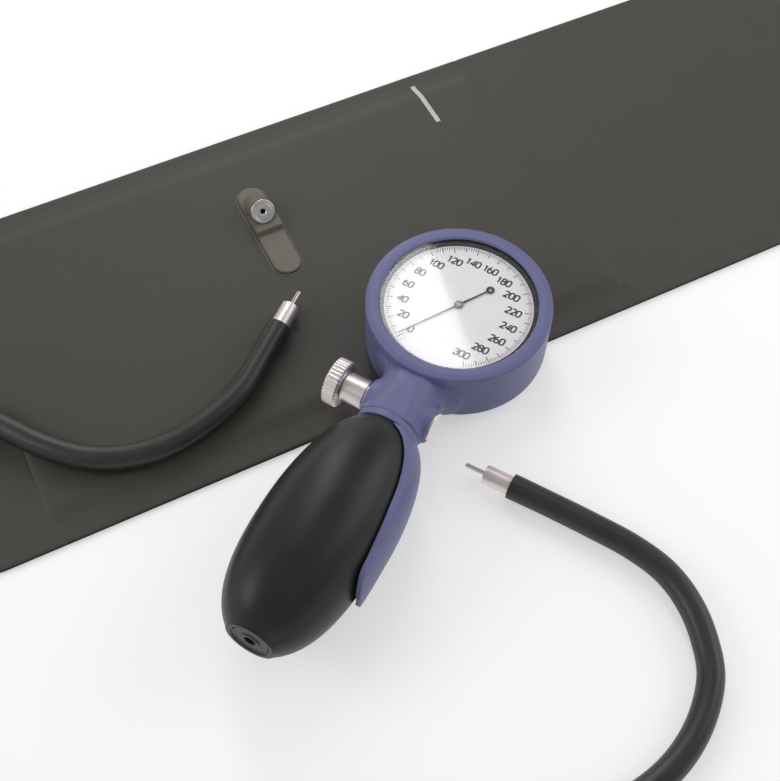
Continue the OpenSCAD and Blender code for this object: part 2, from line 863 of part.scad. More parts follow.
// Lower plate: round middle, three arms to the pillars, two ears and the windows of the shaft
module movement_plate() {
    color([0.72, 0.70, 0.66])
        difference() {
            union() {
                translate([0, 0, plate_z])
                    linear_extrude(plate_t) {
                        circle(r = plate_r);
                        for (a = pillar_angles)
                            rotate(a) {
                                translate([0, -pillar_r]) square([pillar_ring, 2 * pillar_r]);
                                translate([pillar_ring, 0]) circle(r = pillar_r);
                            }
                        translate([rod_x + 1, rocker_y]) circle(r = 4);
                    }
                for (x = ear_x)
                    translate([x - ear_t / 2, rocker_y - 1.6, rocker_z - 1.4])
                        cube([ear_t, 3.2, plate_z - rocker_z + 1.4 + fine]);
            }
            translate([rod_x - 1.1, rocker_y - 2.2, plate_z - 1])
                cube([2.2, 4.4, plate_t + 2]);
            translate([ear_x[0] - 2, rocker_y, rocker_z])
                rotate([0, 90, 0])
                    cylinder(h = ear_x[1] - ear_x[0] + 4, r = 0.6 + run_gap, $fn = 48);
            translate([0, 0, plate_z - 1]) cylinder(h = plate_t + 2, r = arbor_r + run_gap, $fn = 48);
            translate([sector_pivot.x, sector_pivot.y, plate_z - 1])
                cylinder(h = plate_t + 2, r = arbor_r + run_gap, $fn = 48);
        }
}

// Upper plate that holds the upper pivots and carries the dial's feet
module movement_bridge() {
    color([0.72, 0.70, 0.66])
        difference() {
            union() {
                translate([0, 0, bridge_z])
                    linear_extrude(bridge_t) {
                        circle(r = bridge_r);
                        for (p = concat(post_places, dial_feet)) {
                            translate(p) circle(r = 2.4);
                            rotate(atan2(p.y, p.x)) translate([0, -2]) square([norm(p), 4]);
                        }
                        translate(sector_pivot) circle(r = 2.4);
                        rotate(gear_angle) translate([0, -2]) square([norm(sector_pivot), 4]);
                    }
                for (p = post_places)
                    translate([p.x, p.y, plate_z + plate_t])
                        cylinder(h = bridge_z - plate_z - plate_t, r = post_r, $fn = 48);
                for (p = dial_feet)
                    translate([p.x, p.y, bridge_z])
                        cylinder(h = dial_base - bridge_z, r = post_r, $fn = 48);
            }
            translate([0, 0, bridge_z - 1]) cylinder(h = bridge_t + 2, r = arbor_r + run_gap, $fn = 48);
            translate([sector_pivot.x, sector_pivot.y, bridge_z - 1])
                cylinder(h = bridge_t + 2, r = arbor_r + run_gap, $fn = 48);
        }
}

module movement_pillars() {
    color([0.72, 0.70, 0.66])
        for (a = pillar_angles)
            rotate(a)
                translate([pillar_ring, 0, floor_z])
                    cylinder(h = plate_z - floor_z, r = pillar_r, $fn = 48);
}

// Cheese-head screws on the bridge's posts
module bridge_screws() {
    color(chrome)
        for (p = post_places)
            translate([p.x, p.y, bridge_z + bridge_t])
                difference() {
                    cylinder(h = screw_head_t, r = screw_head_r, $fn = 48);
                    translate([-2, -0.2, screw_head_t - 0.35]) cube([4, 0.4, 1]);
                }
}

// Hollow stem that carries the capsule and lets the air in
module capsule_stem() {
    color(brass)
        translate([0, 0, floor_z])
            difference() {
                union() {
                    cylinder(h = 1.2, r = 5, $fn = 6);
                    cylinder(h = capsule_z - floor_z, r = 3, $fn = 48);
                }
                translate([0, 0, -1]) cylinder(h = 5, r = 1, $fn = 32);
            }
}

// Half thickness of the capsule at radius x: nearly flat, ribbed, closing at the rim
function capsule_half(x) =
    (capsule_h / 2 - 0.35) * sqrt(max(0, 1 - pow(x / capsule_r, 6)))
    + 0.3 * (x > 5 && x < capsule_r - 3 ? (1 - cos(360 * (x - 5) / ((capsule_r - 8) / 4))) / 2 : 0);

// Capsule: two ribbed diaphragms round a thin space
module capsule() {
    skin = 0.3;
    rs = [for (i = [0:64]) capsule_r * i / 64];
    color([0.78, 0.74, 0.62])
        translate([0, 0, capsule_z + capsule_h / 2])
            difference() {
                union() {
                    rotate_extrude()
                        polygon(concat(
                            [for (x = rs) [x, -max(capsule_half(x), 0.3)]],
                            [for (i = [64:-1:0]) [rs[i], max(capsule_half(rs[i]), 0.3)]]
                        ));
                    translate([0, 0, -capsule_h / 2]) cylinder(h = capsule_h, r = 4, $fn = 48);
                }
                rotate_extrude()
                    polygon(concat(
                        [for (i = [0:58]) [rs[i], skin - capsule_half(rs[i])]],
                        [for (i = [58:-1:0]) [rs[i], capsule_half(rs[i]) - skin]]
                    ));
            }
}

module push_pin() {
    reach = rod_r / cos(rocker_half) + push_r * tan(rocker_half);
    pin_top = rocker_z - capsule_rise / 2 - reach - run_gap;
    color(chrome)
        translate([0, 0, capsule_top]) {
            cylinder(h = 0.4, r = 2, $fn = 48);
            cylinder(h = pin_top - capsule_top, r = push_r, $fn = 48);
        }
}

// Outline of the bulb: radius and distance from its mouth, by two Bezier curves, less a wall
bulb_r = bulb_d / 2;
front_curve = [
    [mouth_d / 2, 0], [mouth_d / 2 + 0.6 * (bulb_r - mouth_d / 2), 5],
    [bulb_r, bulb_l * 0.26], [bulb_r, bulb_l * belly]
];
back_curve = [
    [bulb_r, bulb_l * belly], [bulb_r, bulb_l * 0.71],
    [bulb_r - 2.3, bulb_l * 0.9], [tail_d / 2, bulb_l - 0.8]
];
steps = 14;
bulb_outline = concat(
    [for (i = [0:steps]) bezier(front_curve, i / steps)],
    [for (i = [1:steps]) bezier(back_curve, i / steps)]
);
bulb_inside = [for (p = bulb_outline) if (p.y > mouth_l && p.y < bulb_l - tail_l) p - [bulb_wall, 0]];

// Hollow rubber bulb with a thick mouth and a tail that holds the inlet valve
module bulb() {
    last_in = bulb_inside[len(bulb_inside) - 1];
    color(black_rubber)
        on_handle()
            translate([0, 0, mouth_t])
                rotate_extrude()
                    polygon(concat(
                        [[tube_r, 0]],
                        bulb_outline,
                        [
                            [tail_d / 2 - 0.8, bulb_l], [inlet_d / 2 + 0.4, bulb_l],
                            [inlet_d / 2, bulb_l - 0.6], [inlet_d / 2, bulb_l - tail_l],
                            [min(last_in.x, tail_d / 2), bulb_l - tail_l]
                        ],
                        [for (i = [len(bulb_inside) - 1:-1:0]) bulb_inside[i]],
                        [[bulb_inside[0].x - 2, mouth_l], [tube_r, mouth_l]]
                    ));
}

// Plastic tube that holds the bulb on the neck, with the outlet valve's seat and two barbs
module bulb_tube() {
    start = neck_end - tube_back;
    end = mouth_t + tube_reach;
    color([0.85, 0.85, 0.82])
        on_handle()
            difference() {
                union() {
                    translate([0, 0, start]) cylinder(h = end - start, r = tube_r);
                    for (i = [0, 1])
                        translate([0, 0, end - 5 + 2.4 * i])
                            cylinder(h = 2, r1 = tube_r + 0.8, r2 = tube_r, $fn = 48);
                }
                translate([0, 0, start - 1]) cylinder(h = 1 + 3, r = tube_bore_r + 0.2, $fn = 48);
                translate([0, 0, start]) cylinder(h = 6, r = 1.3, $fn = 32);
                translate([0, 0, start + 5]) cylinder(h = big, r = tube_bore_r, $fn = 48);
            }
}

// Rubber disc that lets air out of the bulb and not back
module outlet_disc() {
    color("darkred")
        on_handle()
            translate([0, 0, neck_end - tube_back + 3 - run_gap - 0.9])
                cylinder(h = 0.9, r = tube_bore_r + 0.1, $fn = 48);
}

// Plug in the bulb's tail with the air hole and the inlet disc's chamber
module inlet_valve() {
    r = inlet_d / 2;
    top = tail_t - 0.7;
    color(black_rubber)
        on_handle()
            difference() {
                translate([0, 0, top - tail_l]) cylinder(h = tail_l, r = r);
                translate([0, 0, top - tail_l - 1])
                    cylinder(h = tail_l + 2, d = inlet_hole_d - 1, $fn = 48);
                translate([0, 0, top - 1.6]) cylinder(h = 3, d = inlet_hole_d, $fn = 48);
                translate([0, 0, top - tail_l + 1.2]) cylinder(h = tail_l - 3, r = 3.3, $fn = 48);
            }
}

// Rubber disc that lets air into the bulb and not out
module inlet_disc() {
    color("darkred")
        on_handle()
            translate([0, 0, tail_t - 0.7 - 1.8 - run_gap - 0.9])
                cylinder(h = 0.9, r = 3.2, $fn = 48);
}

// Spoon: ring on the neck's spigot with a curved lever that follows the bulb
module spoon() {
    offset_in = spoon_gap;
    offset_out = spoon_gap + spoon_t;
    lever = [for (p = bulb_outline) if (p.y <= spoon_reach + 6) p];
    ring_t = neck_end + rest_gap / 2;
    ring_far = ring_t + ring_w - mouth_t;
    color(blue)
        on_handle()
            union() {
                translate([0, 0, ring_t]) ring(neck_r, spigot_d / 2 + run_gap, ring_w);
                intersection() {
                    translate([0, 0, mouth_t])
                        rotate_extrude()
                            polygon(concat(
                                [[neck_r - 2, ring_t - mouth_t], [neck_r, ring_t - mouth_t]],
                                [[neck_r, ring_far - ring_w / 2]],
                                [for (p = lever) p + [offset_out, 0]],
                                [for (i = [len(lever) - 1:-1:0]) lever[i] + [offset_in, 0]],
                                [[lever[0].x + offset_in, ring_far], [neck_r - 2, ring_far]]
                            ));
                    lever_outline();
                }
            }
}

// Flat outline of the lever, drawn through the handle along X
module lever_outline() {
    tip = mouth_t + spoon_reach;
    r = spoon_w * 0.36;
    start = neck_end;
    rotate([0, 90, 0])
        linear_extrude(big)
            union() {
                translate([-tip + r, -spoon_w / 2]) square([tip - r - start, spoon_w]);
                translate([-tip, -spoon_w / 2 + r]) square([r, spoon_w - 2 * r]);
                for (s = [-1, 1])
                    translate([-tip + r, s * (spoon_w / 2 - r)]) circle(r = r);
            }
}

// Chromed body of the release valve: stub in the neck, gland and spindle bore
module valve_body() {
    color(chrome)
        on_valve()
            difference() {
                union() {
                    translate([0, 0, seat_z + seat_t])
                        cylinder(h = valve_root - seat_z - seat_t, r = stub_r);
                    translate([0, 0, valve_root])
                        rotate_extrude()
                            polygon([
                                [0, 0], [valve_r, 0], [valve_r, valve_reach - valve_root - 0.5],
                                [valve_r - 0.5, valve_reach - valve_root], [0, valve_reach - valve_root]
                            ]);
                }
                cylinder(h = big, r = spindle_d / 2 + run_gap, $fn = 48);
                translate([0, 0, seal_z - seal_play])
                    cylinder(h = gland_l, r = spindle_d / 2 + 1.3, $fn = 48);
                translate([0, 0, collar_z - fit_gap]) cylinder(h = big, r = collar_r + run_gap, $fn = 48);
                translate([0, 0, seat_z]) cylinder(h = valve_root - seat_z - 1, r = 2.2, $fn = 48);
            }
}

// Brass seat that the spindle's point closes
module valve_seat() {
    color(brass)
        on_valve()
            translate([0, 0, seat_z])
                difference() {
                    cylinder(h = seat_t, r = stub_r);
                    translate([0, 0, -1]) cylinder(h = seat_t + 2, r = 0.8, $fn = 48);
                    translate([0, 0, seat_t - 1])
                        cylinder(h = 1 + fine, r1 = 0.8, r2 = 1.8, $fn = 48);
                }
}

// Spindle: point, plain stem through the seal, threaded collar and a stem for the knob
module valve_spindle() {
    r = spindle_d / 2;
    point_z = seat_z + seat_t - 1.23;
    color(brass)
        on_valve()
            rotate_extrude($fn = 64)
                polygon([
                    [0, point_z], [0.5, point_z], [r, point_z + r - 0.5], [r, collar_z],
                    [collar_r, collar_z], [collar_r, collar_z + collar_l], [r, collar_z + collar_l],
                    [r, valve_reach + knob_gap + knob_t - 1.2], [0, valve_reach + knob_gap + knob_t - 1.2]
                ]);
}

module spindle_seal() {
    color(black_rubber)
        on_valve()
            translate([0, 0, seal_z])
                seal_ring(spindle_d / 2 + seal_r + 0.1, seal_r);
}

// Knob: hub, dished inner face and a rounded rim with grooves
module valve_knob() {
    r = knob_d / 2;
    color(chrome)
        on_valve()
            translate([0, 0, valve_reach + knob_gap])
                difference() {
                    union() {
                        rotate_extrude()
                            polygon([
                                [0, 0], [r - 1.4, 0], [r - 0.5, 0.3], [r, 0.9],
                                [r, knob_t - 0.9], [r - 0.5, knob_t - 0.3], [r - 1.4, knob_t],
                                [r - 3, knob_t + 0.25], [0, knob_t + 0.25]
                            ]);
                        translate([0, 0, 0.3 - knob_gap]) cylinder(h = knob_gap, r = knob_hub_r, $fn = 48);
                    }
                    translate([0, 0, -knob_gap])
                        cylinder(h = knob_t - 1.2 + knob_gap, r = spindle_d / 2, $fn = 64);
                    for (i = [0:knob_grooves - 1])
                        rotate(360 * i / knob_grooves)
                            translate([r + 0.15, 0, -1]) cylinder(h = knob_t + 3, r = groove_r, $fn = 16);
                }
}

module hose_socket() {
    color(chrome)
        on_socket()
            translate([0, 0, socket_reach])
                difference() {
                    socket_bushing(socket_d / 2, socket_barrel_r, socket_depth + 3);
                    translate([0, 0, -socket_depth - 2]) cylinder(h = 2, r = 2.4, $fn = 48);
                }
}

module socket_seal() {
    color(black_rubber)
        on_socket()
            translate([0, 0, socket_reach - socket_depth - 1])
                seal_ring(socket_bore_r + socket_seal_r + 0.05, socket_seal_r);
}

module hose() {
    color(black_rubber)
        tube_along(hose_path, hose_r, 10);
}

// Frame at a hose end: Z points out of the hose
module at_end(mouth, next) {
    d = mouth - next;
    translate(mouth)
        rotate([0, 0, atan2(d.y, d.x)])
            rotate([0, 90, 0])
                children();
}

module at_end_a() {
    at_end(hose_path[0], hose_path[1]) children();
}

module at_end_b() {
    at_end(hose_path[len(hose_path) - 1], hose_path[len(hose_path) - 2]) children();
}

// Metal sleeve of a connector, with the seat of the pin
module sleeve() {
    r = sleeve_d / 2;
    difference() {
        rotate_extrude($fn = 64)
            polygon([
                [0, 0], [r, 0], [r, sleeve_l - 0.4], [r - 0.4, sleeve_l], [0, sleeve_l]
            ]);
        translate([0, 0, sleeve_l - pin_root_l]) cylinder(h = 4, r = pin_root_r, $fn = 48);
    }
}

// Split pin of a connector
module split_pin() {
    difference() {
        rotate_extrude($fn = 48)
            polygon([
                [0, sleeve_l - pin_root_l], [pin_root_r, sleeve_l - pin_root_l], [pin_root_r, sleeve_l],
                [pin_d / 2, sleeve_l], [pin_d / 2, sleeve_l + pin_l - 0.25],
                [pin_d / 2 - 0.25, sleeve_l + pin_l], [0, sleeve_l + pin_l]
            ]);
        translate([-pin_slot / 2, -pin_d, sleeve_l + 0.8])
            cube([pin_slot, 2 * pin_d, pin_l]);
    }
}

module sleeve_a() {
    color(chrome) at_end_a() sleeve();
}

module pin_a() {
    color(chrome) at_end_a() split_pin();
}

module sleeve_b() {
    color(chrome) at_end_b() sleeve();
}

module pin_b() {
    color(chrome) at_end_b() split_pin();
}

cuff_lining();
cuff_bladder();
cuff_cover();
hook_patch();
port_boot();
port_bushing();
case();
bezel();
lens();
dial_spacer();
dial();
pointer();
pinion_arbor();
toothed_sector();
rocking_shaft();
hairspring();
movement_plate();
movement_bridge();
movement_pillars();
bridge_screws();
capsule_stem();
capsule();
push_pin();
bulb();
bulb_tube();
outlet_disc();
inlet_valve();
inlet_disc();
spoon();
valve_body();
valve_seat();
valve_spindle();
valve_knob();
spindle_seal();
hose_socket();
socket_seal();
hose();
sleeve_a();
pin_a();
sleeve_b();
pin_b();
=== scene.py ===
"""Dress a hand-held aneroid sphygmomanometer: gauge on a bulb handle, arm cuff and hose.

Lengths in the classes are millimetres, as on a drawing, and become metres where a mesh is made.
The row frame has the dial facing up, the bulb along -Y and the hose socket along +X.
"""

from __future__ import annotations

import functools
import logging
import math
from dataclasses import dataclass, field
from enum import Enum
from typing import Callable, Sequence

import bmesh
import bpy
import numpy as np
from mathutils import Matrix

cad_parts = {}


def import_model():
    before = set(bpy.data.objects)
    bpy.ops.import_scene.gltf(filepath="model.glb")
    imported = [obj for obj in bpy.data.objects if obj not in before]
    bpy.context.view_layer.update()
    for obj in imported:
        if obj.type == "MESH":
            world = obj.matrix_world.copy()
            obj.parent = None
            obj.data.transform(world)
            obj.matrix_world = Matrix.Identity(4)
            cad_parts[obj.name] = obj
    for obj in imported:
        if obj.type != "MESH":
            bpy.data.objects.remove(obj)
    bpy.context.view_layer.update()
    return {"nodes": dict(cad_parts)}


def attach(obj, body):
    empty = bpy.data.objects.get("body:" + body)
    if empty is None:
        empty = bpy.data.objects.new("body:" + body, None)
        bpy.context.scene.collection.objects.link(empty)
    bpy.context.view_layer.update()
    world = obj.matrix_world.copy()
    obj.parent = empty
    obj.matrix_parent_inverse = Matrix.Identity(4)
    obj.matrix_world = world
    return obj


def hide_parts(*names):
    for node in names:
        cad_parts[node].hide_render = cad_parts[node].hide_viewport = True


LOG = logging.getLogger("sphygmomanometer")
MM = 0.001

# Distances in metres under which points become one
SHELL_MERGE = 1e-7
CAD_MERGE = 1e-6

Colour = tuple[float, float, float]
Vector = tuple[float, float, float]
Points = np.ndarray

UP: Vector = (0.0, 0.0, 1.0)


class Body(Enum):
    """The rigid bodies that the pieces ride on."""

    CUFF = "cuff"
    INSTRUMENT = "instrument"
    POINTER = "pointer"
    SPOON = "spoon"
    KNOB = "valve_knob"
    HOSE = "hose"


class Slot(Enum):
    """Names of material slots; each piece is made with one, which nothing reads."""

    BULB_RUBBER = "bulb_rubber"
    CHROME = "chrome"
    CUFF_FABRIC = "cuff_fabric"
    DIAL = "dial"
    GASKET = "gasket"
    HOOK = "hook"
    HOSE_RUBBER = "hose_rubber"
    HOUSING = "housing"
    LENS = "lens"
    LINING_FABRIC = "lining_fabric"
    POINTER = "pointer"
    PORT_METAL = "port_metal"
    PORT_RUBBER = "port_rubber"
    STEEL = "steel"


# Shader maths


def plug(tree: bpy.types.NodeTree, socket: bpy.types.NodeSocket, value: object) -> None:
    """Set a socket to a value, or link it.

    Args:
        tree: The node tree that holds the socket.
        socket: The input to fill.
        value: A Signal, an output socket, a number or a colour.
    """
    if isinstance(value, Signal):
        tree.links.new(value.socket, socket)
    elif isinstance(value, bpy.types.NodeSocket):
        tree.links.new(value, socket)
    elif isinstance(value, tuple) and len(value) == 3 and socket.type == "RGBA":
        socket.default_value = (*value, 1.0)
    else:
        socket.default_value = value


class Signal:
    """A number that varies over a surface: a socket with arithmetic."""

    def __init__(self, tree: bpy.types.NodeTree, socket: bpy.types.NodeSocket) -> None:
        """Hold a socket and the tree it is in."""
        self.tree = tree
        self.socket = socket

    def maths(self, operation: str, *values: Signal | float) -> Signal:
        """Add one Math node.

        Args:
            operation: The node's operation.
            values: Its inputs, in order.

        Returns:
            The node's result.
        """
        node = self.tree.nodes.new("ShaderNodeMath")
        node.operation = operation
        for socket, value in zip(node.inputs, values):
            plug(self.tree, socket, value)
        return Signal(self.tree, node.outputs[0])

    def __add__(self, other: Signal | float) -> Signal:
        """Sum."""
        return self.maths("ADD", self, other)

    __radd__ = __add__

    def __mul__(self, other: Signal | float) -> Signal:
        """Product."""
        return self.maths("MULTIPLY", self, other)

    __rmul__ = __mul__

    def __sub__(self, other: Signal | float) -> Signal:
        """Difference."""
        return self.maths("SUBTRACT", self, other)

    def __rsub__(self, other: float) -> Signal:
        """Difference from a number."""
        return self.maths("SUBTRACT", other, self)

    def sine(self) -> Signal:
        """Sine of radians."""
        return self.maths("SINE", self)

    def least(self, other: Signal | float) -> Signal:
        """Smaller of two."""
        return self.maths("MINIMUM", self, other)

    def most(self, other: Signal | float) -> Signal:
        """Larger of two."""
        return self.maths("MAXIMUM", self, other)

    def step(self, low: float, high: float) -> Signal:
        """Smooth step from 0 at low to 1 at high.

        Args:
            low: The value that gives 0.
            high: The value that gives 1; it may be the smaller of the two.

        Returns:
            The step, held between 0 and 1.
        """
        node = self.tree.nodes.new("ShaderNodeMapRange")
        node.interpolation_type = "SMOOTHSTEP"
        for socket, value in zip(node.inputs, (self, low, high, 0.0, 1.0)):
            plug(self.tree, socket, value)
        return Signal(self.tree, node.outputs[0])


class Shader:
    """The node tree of one material, with its Principled shader."""

    def __init__(self, name: str) -> None:
        """Start a material that has only its Principled shader.

        Args:
            name: The material's name.
        """
        self.material = bpy.data.materials.new(name)
        self.material.use_nodes = True
        self.tree = self.material.node_tree
        self.surface = self.tree.nodes["Principled BSDF"]

    def node(
        self,
        kind: str,
        settings: dict[str, object] | None = None,
        values: dict[str | int, object] | None = None,
    ) -> bpy.types.Node:
        """Add any node.

        Args:
            kind: The node's type.
            settings: Attributes of the node, set first.
            values: Values or links of its inputs, by name or number.

        Returns:
            The node.
        """
        node = self.tree.nodes.new(kind)
        for key, value in (settings or {}).items():
            setattr(node, key, value)
        for key, value in (values or {}).items():
            plug(self.tree, node.inputs[key], value)
        return node

    def set(self, **values: object) -> Shader:
        """Fill inputs of the Principled shader.

        Args:
            values: Values or links by the inputs' names, where underscores stand for spaces.

        Returns:
            This shader.
        """
        for key, value in values.items():
            plug(self.tree, self.surface.inputs[key.replace("_", " ")], value)
        return self

    def place(self) -> bpy.types.NodeSocket:
        """Object coordinates in metres."""
        return self.node("ShaderNodeTexCoord").outputs["Object"]

    def cloth_place(self) -> bpy.types.NodeSocket:
        """The piece's own UV map, which is in metres along its cloth."""
        return self.node("ShaderNodeUVMap", {"uv_map": "flat"}).outputs[0]

    def parts(self, vector: bpy.types.NodeSocket) -> tuple[Signal, Signal, Signal]:
        """The three coordinates of a vector."""
        node = self.node("ShaderNodeSeparateXYZ", values={"Vector": vector})
        return tuple(Signal(self.tree, out) for out in node.outputs)

    def rays(self, *kinds: str) -> Signal:
        """1 for light rays of any of the kinds, such as Camera or Glossy, and 0 for others.

        Args:
            kinds: Kinds of ray, as the Light Path node names them.

        Returns:
            The larger of the kinds' flags.
        """
        path = self.node("ShaderNodeLightPath")
        flags = [Signal(self.tree, path.outputs[f"Is {kind} Ray"]) for kind in kinds]
        return functools.reduce(Signal.most, flags)

    def noise(self, size: float, detail: float = 2.0, where: bpy.types.NodeSocket | None = None) -> Signal:
        """Cloudy noise.

        Args:
            size: Size of its spots in millimetres.
            detail: How many finer layers it has.
            where: Coordinates, or None for the object's.

        Returns:
            A number about 0.5.
        """
        vector = self.place() if where is None else where
        values = {"Vector": vector, "Scale": 1 / (size * MM), "Detail": detail}
        return Signal(self.tree, self.node("ShaderNodeTexNoise", values=values).outputs[0])

    def mix(self, share: Signal | float, first: object, second: object) -> bpy.types.NodeSocket:
        """Blend two colours.

        Args:
            share: How much of the second shows.
            first: A colour or a link.
            second: A colour or a link.

        Returns:
            The blended colour.
        """
        factor, colour_a, colour_b, result = 0, 6, 7, 2
        values = {factor: share, colour_a: first, colour_b: second}
        return self.node("ShaderNodeMix", {"data_type": "RGBA"}, values).outputs[result]

    def tint(self, colour: Colour, light: Signal, darker: float, lighter: float) -> bpy.types.NodeSocket:
        """Blend a colour's darker shade into its lighter one.

        Args:
            colour: The colour.
            light: A step from 0, the darker shade, to 1, the lighter one.
            darker: Factor of the darker shade.
            lighter: Factor of the lighter shade.

        Returns:
            The blended colour.
        """
        return self.mix(light, shade(colour, darker), shade(colour, lighter))

    def bump(self, height: Signal, depth: float, strength: float = 1.0) -> Shader:
        """Raise the surface by a height.

        Args:
            height: The height as a share of depth.
            depth: Depth in millimetres.
            strength: Strength of the bump.

        Returns:
            This shader.
        """
        values = {"Height": height, "Distance": depth * MM, "Strength": strength}
        node = self.node("ShaderNodeBump", values=values)
        return self.set(Normal=node.outputs[0])


def shade(colour: Colour, factor: float) -> Colour:
    """A colour made lighter or darker by a factor."""
    return tuple(min(1.0, part * factor) for part in colour)


# Finishes

FINISHED: dict[str, bpy.types.Material] = {}


@dataclass(frozen=True)
class Finish:
    """A plain finish: a colour with slight clouds, and a fine grain."""

    name: str
    colour: Colour
    roughness: float = 0.5
    metallic: float = 0.0
    clouds: float = 0.05
    cloud_size: float = 9.0
    cloud_polish: float = 0.12
    grain: float = 0.4
    grain_depth: float = 0.01
    specular: float = 0.5

    def material(self) -> bpy.types.Material:
        """The finish's material, made the first time it is asked for.

        Returns:
            The material.
        """
        if self.name not in FINISHED:
            FINISHED[self.name] = self.build(Shader(self.name))
        return FINISHED[self.name]

    def build(self, shader: Shader) -> bpy.types.Material:
        """Fill in the material: clouds vary the colour and the polish, and a fine noise raises the grain.

        Args:
            shader: An empty shader of this name.

        Returns:
            The finished material.
        """
        cloud = self.cloud(shader)
        shader.set(Specular_IOR_Level=self.specular)
        shader.set(Roughness=cloud * self.cloud_polish + (self.roughness - self.cloud_polish / 2))
        return shader.bump(shader.noise(self.grain), self.grain_depth).material

    def cloud(self, shader: Shader) -> Signal:
        """Set the clouded colour and the metal.

        Args:
            shader: The finish's shader.

        Returns:
            The clouds, about 0.5.
        """
        cloud = shader.noise(self.cloud_size, 3)
        tint = shader.tint(self.colour, cloud.step(0.3, 0.7), 1 - self.clouds, 1 + self.clouds)
        shader.set(Base_Color=tint, Metallic=self.metallic)
        return cloud


@dataclass(frozen=True)
class TurnedMetal(Finish):
    """Metal with fine lines left by the tool, round an axis of the piece."""

    metallic: float = 1.0
    cloud_polish: float = 0.1
    axis: Vector = UP
    line: float = 0.12
    line_polish: float = 0.12

    def build(self, shader: Shader) -> bpy.types.Material:
        """Fill in the material: the lines are a noise of the place along the axis alone.

        Args:
            shader: An empty shader of this name.

        Returns:
            The finished material.
        """
        values = {0: shader.place(), 1: self.axis}
        along = shader.node("ShaderNodeVectorMath", {"operation": "DOT_PRODUCT"}, values)
        ring = shader.node("ShaderNodeCombineXYZ", values={"X": along.outputs["Value"]}).outputs[0]
        lines = shader.noise(self.line, 2, ring)
        polish = self.cloud(shader) * self.cloud_polish + lines * self.line_polish
        shader.set(Roughness=polish + (self.roughness - (self.cloud_polish + self.line_polish) / 2))
        return shader.bump(lines, self.grain_depth, 0.5).material


@dataclass(frozen=True)
class LoopCloth(Finish):
    """Brushed loop cloth: short pile in soft clumps over a faint knit."""

    roughness: float = 0.62
    clouds: float = 0.07
    cloud_size: float = 14.0
    pile: float = 0.5
    knit: float = 0.9
    nap: float = 0.12
    sheen: float = 0.12
    sheen_tint: Colour = (0.75, 0.72, 0.62)

    def build(self, shader: Shader) -> bpy.types.Material:
        """Fill in the material: pile noise, knit rows as a sine, and slow clouds of brushed pile.

        Args:
            shader: An empty shader of this name.

        Returns:
            The finished material.
        """
        at = shader.cloth_place()
        pile = shader.noise(self.pile, 3, at)
        brushed = shader.noise(self.cloud_size, 3, at)
        _, across, _ = shader.parts(at)
        row = (across * (2 * math.pi / (self.knit * MM))).sine() * 0.5 + 0.5
        light = (pile * 0.8 + brushed * 0.2).step(0.35, 0.65)
        shader.set(Base_Color=shader.tint(self.colour, light, 1 - self.clouds, 1 + self.clouds))
        shader.set(Roughness=self.roughness, Specular_IOR_Level=self.specular)
        shader.set(Sheen_Weight=self.sheen, Sheen_Roughness=0.5, Sheen_Tint=self.sheen_tint)
        return shader.bump(pile * 0.75 + row * 0.12 + brushed * 0.12, self.nap, 0.5).material


@dataclass(frozen=True)
class WovenCloth(Finish):
    """Plain woven cloth, or the rows of hooks of a hook tape."""

    roughness: float = 0.85
    cloud_size: float = 7.0
    specular: float = 0.3
    pitch: float = 0.5
    thread: float = 0.15

    def build(self, shader: Shader) -> bpy.types.Material:
        """Fill in the material: threads over and under, as a product of two sines.

        Args:
            shader: An empty shader of this name.

        Returns:
            The finished material.
        """
        at = shader.cloth_place()
        along, across, _ = shader.parts(at)
        turn = math.pi / (self.pitch * MM)
        weave = ((along * turn).sine() * (across * turn).sine()) * 0.5 + 0.5
        light = (weave * 0.6 + shader.noise(self.cloud_size, 3, at) * 0.4).step(0.2, 0.8)
        shader.set(Base_Color=shader.tint(self.colour, light, 0.75, 1.2))
        shader.set(Roughness=self.roughness, Specular_IOR_Level=self.specular)
        return shader.bump(weave, self.thread, 0.7).material


@dataclass(frozen=True)
class ClearLens(Finish):
    """Clear moulded lens that lets lamps through to the dial."""

    index: float = 1.45

    def build(self, shader: Shader) -> bpy.types.Material:
        """Fill in the material: glass, but plainly transparent to the light that the dial gathers.

        Args:
            shader: An empty shader of this name.

        Returns:
            The finished material.
        """
        shader.set(Base_Color=self.colour, Roughness=self.roughness, IOR=self.index, Transmission_Weight=1.0)
        clear = shader.node("ShaderNodeBsdfTransparent").outputs[0]
        values = {0: shader.rays("Shadow", "Diffuse"), 1: shader.surface.outputs[0], 2: clear}
        mixed = shader.node("ShaderNodeMixShader", values=values)
        plug(shader.tree, shader.tree.nodes["Material Output"].inputs["Surface"], mixed.outputs[0])
        return shader.material


HOUSING = Finish(
    "housing_plastic", (0.170, 0.172, 0.345), 0.40, clouds=0.03, grain=0.35, grain_depth=0.010, specular=0.30
)
BULB_RUBBER = Finish(
    "moulded_bulb_rubber", (0.020, 0.0195, 0.0170), 0.38,
    clouds=0.12, grain=0.6, grain_depth=0.012, specular=0.34,
)
HOSE_RUBBER = Finish(
    "drawn_hose_rubber", (0.024, 0.0240, 0.0208), 0.42,
    clouds=0.12, grain=0.5, grain_depth=0.012, specular=0.6,
)
PORT_RUBBER = Finish(
    "moulded_port_rubber", (0.138, 0.128, 0.098), 0.46, clouds=0.08, grain_depth=0.016, specular=0.45
)
# The welded rim's colour is about twice as light as the cover cloth: a painted highlight that stands in for
# the sheen of the glossy, flattened weld.
WELD_PAINTED_SHEEN = Finish(
    "welded_edge_painted_sheen", (0.125, 0.117, 0.092), 0.5, clouds=0.1, grain=0.5, grain_depth=0.02, specular=0.4
)
GASKET = Finish("gasket_black", (0.012, 0.012, 0.012), 0.8, clouds=0.0, grain_depth=0.0, specular=0.05)
CHROME = TurnedMetal("chrome_turned", (0.88, 0.815, 0.795), 0.38, grain_depth=0.004, axis=(1, 0, 0))
